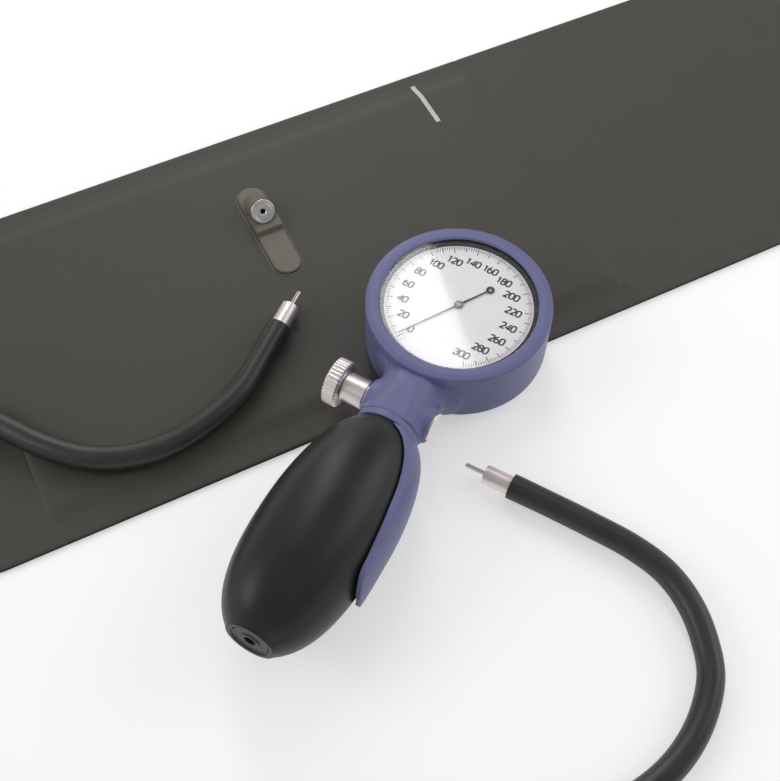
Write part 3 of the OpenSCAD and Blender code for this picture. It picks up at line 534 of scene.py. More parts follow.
CONNECTOR = TurnedMetal("connector_steel", (0.90, 0.83, 0.79), 0.44, grain_depth=0.006)
PORT_METAL = TurnedMetal("turned_port_metal", (0.80, 0.78, 0.75), 0.32, grain_depth=0.006)
STEEL = Finish("machined_steel", (0.45, 0.44, 0.43), 0.32, metallic=1.0, grain_depth=0.004)
HUB_METAL = Finish("hub_grey", (0.16, 0.16, 0.15), 0.35, metallic=1.0, grain_depth=0.004)
BRASS = Finish("machined_brass", (0.62, 0.45, 0.20), 0.30, metallic=1.0, grain_depth=0.004)
CAPSULE = Finish("capsule_bronze", (0.60, 0.48, 0.30), 0.34, metallic=1.0, grain_depth=0.006)
BLUED = Finish("blued_spring", (0.10, 0.14, 0.30), 0.28, metallic=1.0)
PLATE = Finish("stamped_plate", (0.60, 0.58, 0.54), 0.38, metallic=1.0, grain_depth=0.006)
DIAL_WHITE = Finish("dial_white", (0.90, 0.87, 0.905), 0.5, clouds=0.006, grain=0.3, grain_depth=0.003)
INK = Finish("scale_ink", (0.020, 0.019, 0.023), 0.6, specular=0.2)
POINTER_INK = Finish("pointer_black", (0.012, 0.012, 0.013), 0.5, specular=0.2)
PLUG_PLASTIC = Finish("tube_plastic", (0.70, 0.70, 0.66), 0.35)
DISC_RUBBER = Finish("disc_rubber", (0.16, 0.03, 0.025), 0.5)
BLADDER_RUBBER = Finish("sheet_bladder_rubber", (0.30, 0.24, 0.17), 0.55, clouds=0.1)
PRINT_WHITE = Finish(
    "print_white", (0.62, 0.62, 0.60), 0.7, clouds=0.1, cloud_size=0.8, grain=0.3, grain_depth=0.03
)
COVER_CLOTH = LoopCloth("cover_loop_cloth", (0.060, 0.0565, 0.0475))
LINING_CLOTH = WovenCloth("lining_cloth", (0.050, 0.050, 0.045), pitch=0.45)
HOOK_TAPE = WovenCloth("hook_tape", (0.014, 0.014, 0.014), pitch=0.9)
LENS = ClearLens("clear_lens", (1.0, 1.0, 1.0), 0.05)


# Meshes


@dataclass(frozen=True)
class Place:
    """A frame of a sub-assembly: origin and axes in the row frame, in millimetres."""

    origin: Vector = (0, 0, 0)
    axes: tuple[Vector, Vector, Vector] = ((1, 0, 0), (0, 1, 0), (0, 0, 1))

    def put(self, points: Points) -> Points:
        """Points of this frame, in the row frame."""
        return np.asarray(self.origin) + np.asarray(points) @ np.asarray(self.axes)

    def at(self, x: float, y: float, z: float) -> Vector:
        """One point of this frame, in the row frame."""
        return tuple(self.put(np.array([x, y, z], float)).tolist())

    def local(self, points: Points) -> Points:
        """Points of the row frame, in this frame."""
        return (points - np.asarray(self.origin)) @ np.asarray(self.axes).T


def filleted(corners: Sequence[Vector], closed: bool = True, steps: int = 5) -> Points:
    """Round the corners of an outline.

    Args:
        corners: Each corner's two coordinates and its radius.
        closed: Whether the outline is a loop; the ends of an open one stay sharp.
        steps: Segments in each rounded corner.

    Returns:
        The outline's points, where each rounded corner is an arc tangent to both its sides.
    """
    points = np.array([c[:2] for c in corners], float)
    count = len(points)
    found: list[Points] = []
    for i, (_, _, radius) in enumerate(corners):
        here, before, after = points[i], points[i - 1], points[(i + 1) % count]
        if radius == 0 or (not closed and i in (0, count - 1)):
            found.append(here[None])
            continue
        a = (before - here) / np.linalg.norm(before - here)
        b = (after - here) / np.linalg.norm(after - here)
        half = math.acos(float(np.clip(a @ b, -1, 1))) / 2
        centre = here + (a + b) / np.linalg.norm(a + b) * radius / math.sin(half)
        first = here + a * radius / math.tan(half) - centre
        last = here + b * radius / math.tan(half) - centre
        share = np.linspace(0, 1, steps + 1)[:, None]
        swing = math.pi - 2 * half
        arc = (np.sin((1 - share) * swing) * first + np.sin(share * swing) * last) / math.sin(swing)
        found.append(centre + arc)
    return np.concatenate(found)


def joined(*coordinates: Points | float) -> Points:
    """Points from arrays of their coordinates, which may differ in shape."""
    return np.stack(np.broadcast_arrays(*coordinates), -1)


def turned(profile: Points, sides: int) -> Points:
    """Turn a profile about Z: each point becomes (radius cos angle, radius sin angle, height).

    Args:
        profile: Points as radius and height.
        sides: How many angles the full turn has.

    Returns:
        A grid of points, with the angles as rows and the profile as columns.
    """
    angle = np.linspace(0, 2 * math.pi, sides, endpoint=False)[:, None]
    radius, height = profile[:, 0][None], profile[:, 1][None]
    return joined(radius * np.cos(angle), radius * np.sin(angle), height)


def grid_faces(rows: int, columns: int, wrap_rows: bool, wrap_columns: bool) -> Points:
    """Quads that join a grid of points.

    Args:
        rows: Points along the first parameter.
        columns: Points along the second parameter.
        wrap_rows: Whether the last row joins the first.
        wrap_columns: Whether the last column joins the first.

    Returns:
        Four point numbers for each face.
    """
    i = np.arange(rows if wrap_rows else rows - 1)[:, None]
    j = np.arange(columns if wrap_columns else columns - 1)[None]
    i2, j2 = (i + 1) % rows, (j + 1) % columns
    quads = [i * columns + j, i2 * columns + j, i2 * columns + j2, i * columns + j2]
    return np.stack(quads, -1).reshape(-1, 4)


@dataclass
class Shell:
    """A mesh in the making: grids of points in millimetres that are joined into one piece."""

    points: list[Points] = field(default_factory=list)
    faces: list[Points] = field(default_factory=list)
    flats: list[Points] = field(default_factory=list)
    count: int = 0

    def add(self, grid: Points, wrap: tuple[bool, bool] = (True, False), flat: Points | None = None) -> Shell:
        """Add a grid of points as a surface.

        Args:
            grid: Points in rows and columns.
            wrap: Whether rows and columns close on themselves.
            flat: The cloth's own coordinates of the points, in metres.

        Returns:
            This shell.
        """
        rows, columns = grid.shape[:2]
        self.points.append(grid.reshape(-1, 3))
        self.faces.append(grid_faces(rows, columns, *wrap) + self.count)
        self.flats.append(np.zeros((rows * columns, 2)) if flat is None else flat.reshape(-1, 2))
        self.count += rows * columns
        return self

    def add_quads(self, corners: Points) -> Shell:
        """Add separate quads.

        Args:
            corners: Four points for each quad.

        Returns:
            This shell.
        """
        count = len(corners)
        self.points.append(corners.reshape(-1, 3))
        self.faces.append(np.arange(4 * count).reshape(-1, 4) + self.count)
        self.flats.append(np.zeros((4 * count, 2)))
        self.count += 4 * count
        return self

    def piece(
        self,
        name: str,
        finish: Finish,
        body: Body,
        slot: Slot,
        stands_for: Sequence[str] = (),
        crease: float = 40,
    ) -> bpy.types.Object:
        """Make the piece: merge what meets, point its faces outwards, smooth and dress it.

        Args:
            name: The piece's name.
            finish: Its finish.
            body: The body it rides on.
            slot: The material slot named for it; not used.
            stands_for: CAD nodes that it replaces.
            crease: Angle in degrees past which an edge stays sharp.

        Returns:
            The piece.
        """
        mesh = bpy.data.meshes.new(name)
        points = np.concatenate(self.points) * MM
        faces = np.concatenate(self.faces)
        mesh.from_pydata(points.tolist(), [], faces.tolist())
        flat = mesh.uv_layers.new(name="flat")
        uv = np.concatenate(self.flats)[faces.reshape(-1)]
        flat.data.foreach_set("uv", uv.astype(np.float32).reshape(-1))
        work = bmesh.new()
        work.from_mesh(mesh)
        bmesh.ops.remove_doubles(work, verts=work.verts, dist=SHELL_MERGE)
        bmesh.ops.dissolve_degenerate(work, edges=work.edges, dist=SHELL_MERGE / 10)
        bmesh.ops.recalc_face_normals(work, faces=work.faces)
        work.to_mesh(mesh)
        work.free()
        return dress(bpy.data.objects.new(name, mesh), finish, body, stands_for, crease)


def lathed(profile: Points, sides: int, place: Place = Place(), closed: bool = True) -> Shell:
    """Turn a profile about Z in a frame of its own and start a shell with it.

    Args:
        profile: Points as radius and height in millimetres.
        sides: How many angles the full turn has.
        place: The frame that the profile is turned in.
        closed: Whether the profile is a loop; an open one starts and ends at the axis.

    Returns:
        The shell.
    """
    return Shell().add(place.put(turned(profile, sides)), (True, closed))


def read_points(mesh: bpy.types.Mesh) -> Points:
    """A mesh's points.

    Args:
        mesh: The mesh.

    Returns:
        Its points in millimetres.
    """
    points = np.empty(len(mesh.vertices) * 3)
    mesh.vertices.foreach_get("co", points)
    return points.reshape(-1, 3) / MM


def write_points(mesh: bpy.types.Mesh, points: Points) -> None:
    """Move a mesh's points to places in millimetres."""
    mesh.vertices.foreach_set("co", (points * MM).reshape(-1))
    mesh.update()


def dress(
    piece: bpy.types.Object,
    finish: Finish,
    body: Body,
    stands_for: Sequence[str],
    crease: float,
) -> bpy.types.Object:
    """Put a piece into the scene with its finish, its body and the nodes it stands for.

    Args:
        piece: An object whose mesh is in its place.
        finish: Its finish.
        body: The body it rides on.
        stands_for: CAD nodes that it replaces.
        crease: Angle in degrees past which an edge stays sharp.

    Returns:
        The piece.
    """
    if piece.name not in bpy.context.scene.collection.objects:
        bpy.context.scene.collection.objects.link(piece)
    piece.data.materials.clear()
    piece.data.materials.append(finish.material())
    piece.data.shade_smooth()
    piece.data.set_sharp_from_angle(angle=math.radians(crease))
    shading = piece.modifiers.new("even_shading", "WEIGHTED_NORMAL")
    shading.mode = "FACE_AREA"
    shading.keep_sharp = True
    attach(piece, body.value)
    if stands_for:
        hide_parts(*stands_for)
    LOG.info("%s: %d faces", piece.name, len(piece.data.polygons))
    return piece


def remodelled(node: bpy.types.Object, name: str, voxel: float) -> bpy.types.Object:
    """A copy of a moulded CAD node as one even mesh of small squares.

    Args:
        node: The node to copy.
        name: Name of the copy.
        voxel: Size of the copy's faces in millimetres.

    Returns:
        The copy, not yet in the scene's dress.
    """
    mesh = node.data.copy()
    work = bmesh.new()
    work.from_mesh(mesh)
    bmesh.ops.remove_doubles(work, verts=work.verts, dist=CAD_MERGE)
    work.to_mesh(mesh)
    work.free()
    copy = bpy.data.objects.new(name, mesh)
    bpy.context.scene.collection.objects.link(copy)
    remesh = copy.modifiers.new("even", "REMESH")
    remesh.mode = "VOXEL"
    remesh.voxel_size = voxel * MM
    graph = bpy.context.evaluated_depsgraph_get()
    copy.data = bpy.data.meshes.new_from_object(copy.evaluated_get(graph))
    copy.modifiers.clear()
    return copy


def relaxed(mesh: bpy.types.Mesh, weight: Callable[[Points], Points], rounds: int) -> None:
    """Soften a mesh where a weight says so: each point moves towards the mean of its neighbours.

    Args:
        mesh: The mesh to soften.
        weight: Gives 0 to 1 for points in millimetres.
        rounds: How many times the points move.
    """
    points = read_points(mesh)
    count = len(points)
    edges = np.empty(len(mesh.edges) * 2, int)
    mesh.edges.foreach_get("vertices", edges)
    a, b = edges.reshape(-1, 2).T
    degree = np.bincount(a, minlength=count) + np.bincount(b, minlength=count)
    share = weight(points)[:, None] / 2
    for _ in range(rounds):
        sums = [np.bincount(a, points[b, k], count) + np.bincount(b, points[a, k], count) for k in range(3)]
        points += share * (np.stack(sums, -1) / degree[:, None] - points)
    write_points(mesh, points)


def smoothstep(value: Points, low: float, high: float) -> Points:
    """Smooth step from 0 at low to 1 at high."""
    t = np.clip((value - low) / (high - low), 0, 1)
    return t * t * (3 - 2 * t)


# Handle


@dataclass(frozen=True)
class HandleLine:
    """The handle's axis: it leaves the gauge's middle towards the bulb and rises a little."""

    height: float = 14.2
    rise: float = 4.5
    cross: float = 43.8
    neck_end: float = 52.5
    mouth: float = 55.7
    boss: float = 12.4

    def _tilt(self) -> tuple[float, float]:
        """Cosine and sine of the rise."""
        angle = math.radians(self.rise)
        return math.cos(angle), math.sin(angle)

    def place(self) -> Place:
        """X across, Y up and Z along the handle."""
        c, s = self._tilt()
        return Place((0, 0, self.height), ((1, 0, 0), (0, s, c), (0, -c, s)))

    def valve(self) -> Place:
        """The release valve's frame, where Z leaves the neck to the left."""
        c, s = self._tilt()
        return Place(self.place().at(0, 0, self.cross), ((0, -c, s), (0, s, c), (-1, 0, 0)))

    def socket(self) -> Place:
        """The hose socket's frame, where Z leaves the neck to the right."""
        c, s = self._tilt()
        return Place(self.place().at(0, 0, self.cross), ((0, c, -s), (0, s, c), (1, 0, 0)))


def bezier(control: Sequence[tuple[float, float]], steps: int) -> Points:
    """Points on a cubic Bezier curve: the four control points weighted by powers of t and 1 - t.

    Args:
        control: Four control points; the curve runs through the first and the last.
        steps: How many stretches the curve has.

    Returns:
        The curve's points.
    """
    t = np.linspace(0, 1, steps + 1)[:, None]
    a, b, c, d = (np.array(p, float) for p in control)
    return a * (1 - t) ** 3 + 3 * b * t * (1 - t) ** 2 + 3 * c * t * t * (1 - t) + d * t**3


@dataclass
class Bulb:
    """Hollow rubber bulb with its inlet valve; distances run from its mouth."""

    line: HandleLine
    length: float = 84.0
    radius: float = 20.8
    mouth: float = 10.8
    tail: float = 9.0
    tail_edge: float = 0.8
    belly: float = 0.48
    bore: float = 5.0
    plug_radius: float = 6.4
    plug_depth: float = 6.0
    plug_inset: float = 0.2
    hole: float = 1.9

    def outline(self, steps: int = 40) -> Points:
        """The bulb's outside, on two Bezier curves that meet at its belly.

        Args:
            steps: How many stretches each curve has.

        Returns:
            Points as radius and distance.
        """
        mid = self.length * self.belly
        front = [
            (self.mouth, 0),
            (self.mouth + 0.6 * (self.radius - self.mouth), 5),
            (self.radius, self.length * 0.26),
            (self.radius, mid),
        ]
        back = [
            (self.radius, mid),
            (self.radius, self.length * 0.71),
            (self.radius - 2.3, self.length * 0.9),
            (self.tail, self.length - self.tail_edge),
        ]
        return np.concatenate([bezier(front, steps), bezier(back, steps)[1:]])

    def make(self) -> None:
        """Make the bulb and the plug in its tail."""
        start = np.array([[0.0, self.line.mouth]])
        self.make_skin(start)
        self.make_plug(start)

    def make_skin(self, start: Points) -> None:
        """Make the bulb: its outside between a flat mouth and a rounded lip round the plug.

        Args:
            start: What moves a profile along the handle to the bulb's mouth.
        """
        far, plug = self.length, self.plug_radius
        lip = filleted(
            [(self.tail, far - self.tail_edge, 0), (self.tail - 0.6, far, 0.5), (plug + 0.7, far, 0.3),
             (plug, far - 0.6, 0)],
            closed=False,
        )
        mouth = np.array([[self.bore, 0.0], [self.mouth - 0.2, 0.0], [self.mouth, 0.0]])
        seat = np.array([[plug, far - self.plug_depth], [self.bore, far - self.plug_depth]])
        skin = np.concatenate([mouth, self.outline()[1:-1], lip, seat])
        shell = lathed(skin + start, 160, self.line.place(), closed=False)
        shell.piece("bulb_skin", BULB_RUBBER, Body.INSTRUMENT, Slot.BULB_RUBBER, ["bulb"])

    def make_plug(self, start: Points) -> None:
        """Make the inlet valve's plug: a rim, a sunk ring and a raised middle with the air hole.

        Args:
            start: What moves a profile along the handle to the bulb's mouth.
        """
        top, r = self.length - self.plug_inset, self.plug_radius
        foot, sunk = top - self.plug_depth, top - 0.35
        plug = filleted(
            [(0, foot + 1, 0), (self.hole, foot + 1, 0.2), (self.hole, top, 0.3), (3.0, top + 0.1, 0.3),
             (3.7, sunk, 0.3), (r - 1.0, sunk, 0.3), (r - 0.1, top, 0.3),
             (r - 0.02, top - 1.0, 0), (r - 0.02, foot, 0), (0, foot, 0)],
            closed=False,
        )
        shell = lathed(plug + start, 96, self.line.place(), closed=False)
        shell.piece("inlet_plug", BULB_RUBBER, Body.INSTRUMENT, Slot.BULB_RUBBER, ["inlet_valve"])


@dataclass
class Spoon:
    """Ring on the neck with a curved lever that follows the bulb's right side."""

    line: HandleLine
    bulb: Bulb
    half_width: float = 12.3
    thickness: float = 1.7
    gap: float = 0.45
    reach: float = 57.2
    end_width: float = 9.4
    taper_start: float = 26.0
    ring_radius: float = 11.3
    ring_bore: float = 8.55
    ring_near: float = 0.15
    ring_far: float = 2.75
    round_end: float = 7.5
    bullnose: float = 0.85
    edge_round: float = 0.42
    lift: float = 0.55
    lift_start: float = 40.0
    lift_end: float = 57.0

    def inner(self, along: Points) -> Points:
        """Inner radius of the lever: the bulb's own and a gap, which grows a little towards the end.

        Args:
            along: Distances from the bulb's mouth.

        Returns:
            The radii.
        """
        outline = self.bulb.outline()
        skin = np.interp(along, outline[:, 1], outline[:, 0])
        return skin + self.gap + self.lift * smoothstep(along, self.lift_start, self.lift_end)

    def make(self) -> None:
        """Make the lever and its ring."""
        place = self.line.place()
        grid = self.lever()
        shell = Shell().add(place.put(grid), (False, True))
        for end in (grid[:1], grid[-1:]):
            cap = np.concatenate([end, np.broadcast_to(end.mean(1, keepdims=True), end.shape)])
            shell.add(place.put(cap), (False, True))
        ring = filleted(
            [(self.ring_bore, self.ring_near, 0.2), (self.ring_radius, self.ring_near, 0.3),
             (self.ring_radius, self.ring_far, 0.35), (self.ring_bore, self.ring_far, 0.2)]
        )
        ring = ring + np.array([[0, self.line.neck_end]])
        shell.add(place.put(turned(ring, 128)), (True, True))
        shell.piece("spoon_lever", HOUSING, Body.SPOON, Slot.HOUSING, ["spoon"])

    def lever(self, loops: int = 90) -> Points:
        """The lever in the handle's frame: strips of rings, whose width ends in an ellipse.

        Args:
            loops: How many cross-sections lie before the rounded end.

        Returns:
            A grid of points, with the distances as rows and the cross-section as columns.
        """
        start = self.line.neck_end + self.ring_near - self.line.mouth
        turn = np.linspace(0, math.pi / 2, 7)[1:]
        straight = self.reach - self.bullnose
        along = np.concatenate([np.linspace(start, straight, loops), straight + self.bullnose * np.sin(turn)])
        thin = np.concatenate([np.ones(loops), np.cos(turn)])
        inner = self.inner(np.maximum(along, 0))
        low = np.where(along < -0.3, self.ring_radius - 1.9, inner)
        blend = smoothstep(along, start, 1.5)
        high = self.ring_radius + (inner + self.thickness - self.ring_radius) * blend
        middle = (low + high) / 2
        low, high = middle + (low - middle) * thin, middle + (high - middle) * thin
        past = np.clip(along - self.reach + self.round_end, 0, self.round_end * 0.97) / self.round_end
        narrowing = smoothstep(along, self.taper_start, self.reach)
        taper = self.half_width + (self.end_width - self.half_width) * narrowing
        width = np.minimum(taper * np.sqrt(1 - past**2), 0.985 * low)
        across, depth = self.section()
        y = width[:, None] * across
        radius = low[:, None] + (high - low)[:, None] * depth
        x = np.sqrt(np.maximum(radius**2 - y**2, 0))
        return joined(x, y, along[:, None] + self.line.mouth)

    def section(self) -> tuple[Points, Points]:
        """The lever's cross-section: a strip whose edges are half rounds.

        Returns:
            Shares of the half width, and shares of the thickness.
        """
        edge = self.thickness * self.edge_round / self.half_width
        wide = np.linspace(-1 + edge, 1 - edge, 40)
        turn = np.linspace(-math.pi / 2, math.pi / 2, 9)
        right_x = 1 - edge + edge * np.cos(turn)
        right_y = 0.5 + (0.5 - self.edge_round) * np.sign(turn) + self.edge_round * np.sin(turn)
        across = np.concatenate([wide, right_x, wide[::-1], -right_x])
        depth = np.concatenate([0 * wide, right_y, 0 * wide + 1, right_y[::-1]])
        return across, depth


@dataclass
class ReleaseValve:
    """Turned valve body with a grooved knob, on the neck's left."""

    line: HandleLine
    body_radius: float = 5.3
    bore: float = 1.5
    root: float = 8.4
    neck_groove: float = 0.45
    neck_groove_depth: float = 0.7
    reach: float = 21.2
    stub_radius: float = 3.5
    stub_start: float = 3.4
    knob_radius: float = 8.5
    knob_width: float = 5.65
    knob_gap: float = 0.15
    grooves: int = 32
    groove_depth: float = 0.24

    def make(self) -> None:
        """Make the valve's body, with a narrow groove where it leaves the neck, and its knob."""
        place = self.line.valve()
        r, b, end = self.body_radius, self.bore, self.reach
        face, waist = self.line.boss + self.neck_groove, r - self.neck_groove_depth
        body = filleted(
            [(b, self.root, 0), (waist, self.root, 0), (waist, face, 0), (r, face, 0.12), (r, end, 0.5),
             (4.2, end, 0.2), (3.9, end - 0.5, 0.2), (b, end - 0.5, 0)]
        )
        low, high, s = self.stub_start, self.root + 0.2, self.stub_radius
        stub = filleted([(b, low, 0), (s, low, 0.2), (s, high, 0), (b, high, 0)])
        shell = lathed(body, 128, place).add(place.put(turned(stub, 64)), (True, True))
        shell.piece("valve_barrel", CHROME, Body.INSTRUMENT, Slot.CHROME, ["valve_body"])
        self.make_knob(place)

    def make_knob(self, place: Place) -> None:
        """Make the knob: its rim's radius is cut by a rounded groove at even angles.

        Args:
            place: The valve's frame.
        """
        start = self.reach + self.knob_gap
        r, end = self.knob_radius, start + self.knob_width
        profile = filleted(
            [(1.4, start - 0.5, 0), (3.7, start - 0.5, 0.1), (3.7, start, 0.1), (r - 0.9, start, 0.3),
             (r, start + 0.5, 0.5), (r, end - 0.7, 0.5), (r - 1.3, end, 0.5),
             (r - 2.6, end + 0.2, 0.3), (r - 3.2, end - 0.1, 0.2), (0, end - 0.1, 0)],
            closed=False,
        )
        grid = turned(profile, self.grooves * 12)
        x, y = grid[..., 0], grid[..., 1]
        radius = np.hypot(x, y)
        wave = 1 - np.abs(np.sin(self.grooves * np.arctan2(y, x) / 2))
        cut = self.groove_depth * wave**1.2 * smoothstep(radius, r - 1.9, r - 0.7)
        grid[..., :2] *= (1 - cut / np.maximum(radius, 1e-6))[..., None]
        Shell().add(place.put(grid)).piece("valve_grip", CHROME, Body.KNOB, Slot.CHROME, ["valve_knob"])


@dataclass
class HoseSocket:
    """Turned metal socket in the neck's right side."""

    line: HandleLine
    face: float = 13.2
    radius: float = 5.2
    bore: float = 0.9
    stem: float = 3.2
    depth: float = 7.4

    def make(self) -> None:
        """Make the socket's face and bore."""
        f, r, b = self.face, self.radius, self.bore
        foot, rim = f - self.depth, f - 0.8
        profile = filleted(
            [(b, foot, 0), (b, f - 0.5, 0.1), (b + 0.5, f, 0.12), (r - 1.5, f, 0.1),
             (r - 1.35, f - 0.12, 0.05), (r - 1.2, f, 0.1), (r, f, 0.3), (r, rim, 0),
             (self.stem, rim, 0), (self.stem, foot, 0)]
        )
        shell = lathed(profile, 96, self.line.socket())
        shell.piece("socket_face", CHROME, Body.INSTRUMENT, Slot.CHROME, ["hose_socket"])


# Gauge


@dataclass
class Gauge:
    """Case, bezel, lens, dial and pointer."""

    line: HandleLine
    nodes: dict[str, bpy.types.Object]
    radius: float = 33.0
    base: float = 3.8
    top: float = 28.7
    opening: float = 27.9
    groove: float = 1.6
    bezel_height: float = 5.0
    skirt: float = 3.0
    wall: float = 2.1
    lens_top: float = 28.0
    lens_base: float = 26.8
    lens_edge: float = 1.5
    dial_top: float = 25.5
    dial_radius: float = 26.4
    dial_bore: float = 1.0
    dial_thickness: float = 0.6

    def make(self) -> None:
        """Make the gauge's seen pieces."""
        self.make_case()
        self.make_bezel()
        self.make_lens()
        self.make_spacer()
        self.make_dial()

    def make_case(self) -> None:
        """Remodel the case with soft blends where the neck and the bosses meet the cup."""
        case = remodelled(self.nodes["case"], "case_moulding", 0.5)
        relaxed(case.data, self.neck_blend, 40)
        relaxed(case.data, self.neck_hood, 70)
        self.tuck(case.data)
        dress(case, HOUSING, Body.INSTRUMENT, ["case"], 50)

    def neck_blend(self, points: Points) -> Points:
        """How soft the case is: 1 where the neck runs into the cup, less on the neck, 0 inside the cup.

        Args:
            points: Points of the case.

        Returns:
            Products of smooth steps of each point's distances from the cup's wall and the handle's line.
        """
        local = self.line.place().local(points)
        from_middle = np.hypot(points[:, 0], points[:, 1])
        from_line = np.hypot(local[:, 0], local[:, 1])
        near = 1 - smoothstep(np.abs(from_middle - self.radius), 1.0, 4.0)
        near = near * (1 - smoothstep(from_line, 17.0, 19.0)) * smoothstep(local[:, 2], 20.0, 24.0)
        near = near * (1 - smoothstep(points[:, 2], 21.5, 23.0))
        boss, end = self.line.boss, self.line.neck_end
        neck = 1 - smoothstep(np.abs(local[:, 0]), boss - 1.6, boss - 0.4)
        neck = neck * (1 - smoothstep(local[:, 2], end - 2.0, end - 1.0))
        return np.where(from_middle < self.radius - 1.2, 0.0, np.maximum(near, 0.05 + 0.4 * neck))

    def neck_hood(self, points: Points) -> Points:
        """1 on the neck's first part, where it runs up to the bezel, and 0 elsewhere.

        Args:
            points: Points of the case.

        Returns:
            A product of two smooth steps along the handle, outside the cup alone.
        """
        along = self.line.place().local(points)[:, 2]
        near = smoothstep(along, 27.0, 31.0) * (1 - smoothstep(along, 35.5, 38.5))
        return near * (np.hypot(points[:, 0], points[:, 1]) > self.radius + 0.2)

    def tuck(self, mesh: bpy.types.Mesh) -> None:
        """Draw the neck's top edge in under the bezel, and the cup's side to one plain radius.

        A point just past the side's radius by d comes in by 0.1 exp(-(d - 0.1) / 0.5), so that the neck's
        flare leaves the side without a step.

        Args:
            mesh: The case's mesh.
        """
        points = read_points(mesh)
        radius, height = np.hypot(points[:, 0], points[:, 1]), points[:, 2]
        near = (radius > self.radius - 1.2) & (radius < self.radius + 0.7)
        near &= height > self.top - self.bezel_height - 0.35
        side = ~near & (radius > self.radius - 0.4) & (height > self.base + 3.4)
        past = radius - self.radius
        smooth = self.radius + np.where(past > 0.1, past - 0.1 * np.exp(-(past - 0.1) / 0.5), 0.0)
        wanted = np.where(near, self.radius - 0.5, np.where(side, smooth, radius))
        points[:, :2] *= (wanted / np.maximum(radius, 1e-9))[:, None]
        write_points(mesh, points)

    def make_bezel(self) -> None:
        """Make the bezel: a broad, slightly domed band with a short inner wall and a skirt over the seam."""
        r, w, top = self.radius + 0.02, self.opening, self.top
        low = top - self.bezel_height
        foot, seat = low - self.skirt, w + self.groove
        profile = filleted(
            [(r - self.wall, foot, 0), (r - self.wall, low - 1.0, 0), (r, low - 1.0, 0), (r, top - 0.5, 0.9),
             (r - 2.2, top, 6.0), (w + 0.6, top - 0.12, 0.6), (w, top - 0.6, 0.25),
             (w, self.lens_top, 0), (seat, self.lens_top, 0), (seat, foot, 0)],
            steps=8,
        )
        lathed(profile, 192).piece("bezel_ring", HOUSING, Body.INSTRUMENT, Slot.HOUSING, ["bezel"])

    def make_lens(self) -> None:
        """Make the lens as a flat disc with a small bevel."""
        r, low, high = self.opening + self.lens_edge, self.lens_base, self.lens_top
        profile = filleted([(0, low, 0), (r, low, 0.1), (r, high, 0.1), (0, high, 0)], closed=False, steps=2)
        shell = lathed(profile, 128, closed=False)
        shell.piece("lens_disc", LENS, Body.INSTRUMENT, Slot.LENS, ["lens"])

    def make_spacer(self) -> None:
        """Make the black ring between lens and dial."""
        inner, outer = self.opening - 0.2, self.opening + self.lens_edge
        shelf, foot, top = self.dial_radius + 0.15, self.dial_top - 1.6, self.dial_top
        profile = filleted(
            [(inner, self.lens_base, 0.1), (outer, self.lens_base, 0), (outer, foot, 0), (shelf, foot, 0),
             (shelf, top, 0.1), (inner, top + 0.05, 0.2)]
        )
        lathed(profile, 160).piece("spacer_ring", GASKET, Body.INSTRUMENT, Slot.GASKET, ["dial_spacer"])

    def make_dial(self) -> None:
        """Make the dial plate, its printed scale and the pointer."""
        r, b, top = self.dial_radius, self.dial_bore, self.dial_top
        low = top - self.dial_thickness
        plate = filleted([(b, low, 0), (r, low, 0), (r, top, 0.1), (b, top, 0.05)])
        lathed(plate, 128).piece("dial_plate", DIAL_WHITE, Body.INSTRUMENT, Slot.DIAL, ["dial"])
        Scale(top).make()
        Pointer(top).make()


class Digit(Enum):
    """The digits of the scale, each with its strokes in a box 0.6 wide and 1 high.

    A stroke is a list of (x, y, corner radius); a closed one ends where it starts.
    """

    ZERO = "0"
    ONE = "1"
    TWO = "2"
    THREE = "3"
    FOUR = "4"
    SIX = "6"
    EIGHT = "8"

    @staticmethod
    def width() -> float:
        """Width of a digit's box as a share of its height."""
        return 0.6

    def strokes(self) -> list[Points]:
        """The digit's lines, with their corners rounded to arcs.

        Returns:
            Points of each stroke, the loops first.
        """
        box = [(0.0, 0.0, 0.27), (0.6, 0.0, 0.27), (0.6, 1.0, 0.27), (0.0, 1.0, 0.27)]
        low_box = [(0.0, 0.0, 0.24), (0.6, 0.0, 0.24), (0.6, 0.56, 0.24), (0.0, 0.56, 0.24)]
        high_box = [(0.05, 0.56, 0.2), (0.55, 0.56, 0.2), (0.55, 1.0, 0.2), (0.05, 1.0, 0.2)]
        hook = [(0.04, 0.8, 0), (0.04, 1.0, 0.2), (0.56, 1.0, 0.24)]
        shapes = {
            Digit.ZERO: ([box], []),
            Digit.ONE: ([], [[(0.12, 0.86, 0), (0.36, 0.97, 0.05), (0.36, 0.0, 0)]]),
            Digit.TWO: ([], [[*hook, (0.56, 0.6, 0.2), (0.0, 0.0, 0.02), (0.6, 0.0, 0)]]),
            Digit.THREE: (
                [],
                [[*hook, (0.56, 0.54, 0.2), (0.22, 0.54, 0)],
                 [(0.22, 0.54, 0), (0.6, 0.54, 0.22), (0.6, 0.0, 0.25), (0.0, 0.0, 0.22), (0.0, 0.2, 0)]],
            ),
            Digit.FOUR: ([], [[(0.44, 0.0, 0), (0.44, 1.0, 0.0), (0.0, 0.26, 0.03), (0.62, 0.26, 0)]]),
            Digit.SIX: ([low_box], [[(0.0, 0.28, 0), (0.0, 0.72, 0.3), (0.34, 1.0, 0)]]),
            Digit.EIGHT: ([low_box, high_box], []),
        }
        loops, lines = shapes[self]
        closed = [filleted(c, True, 6) for c in loops]
        closed = [np.concatenate([c, c[:1]]) for c in closed]
        return closed + [filleted(c, False, 6) for c in lines]


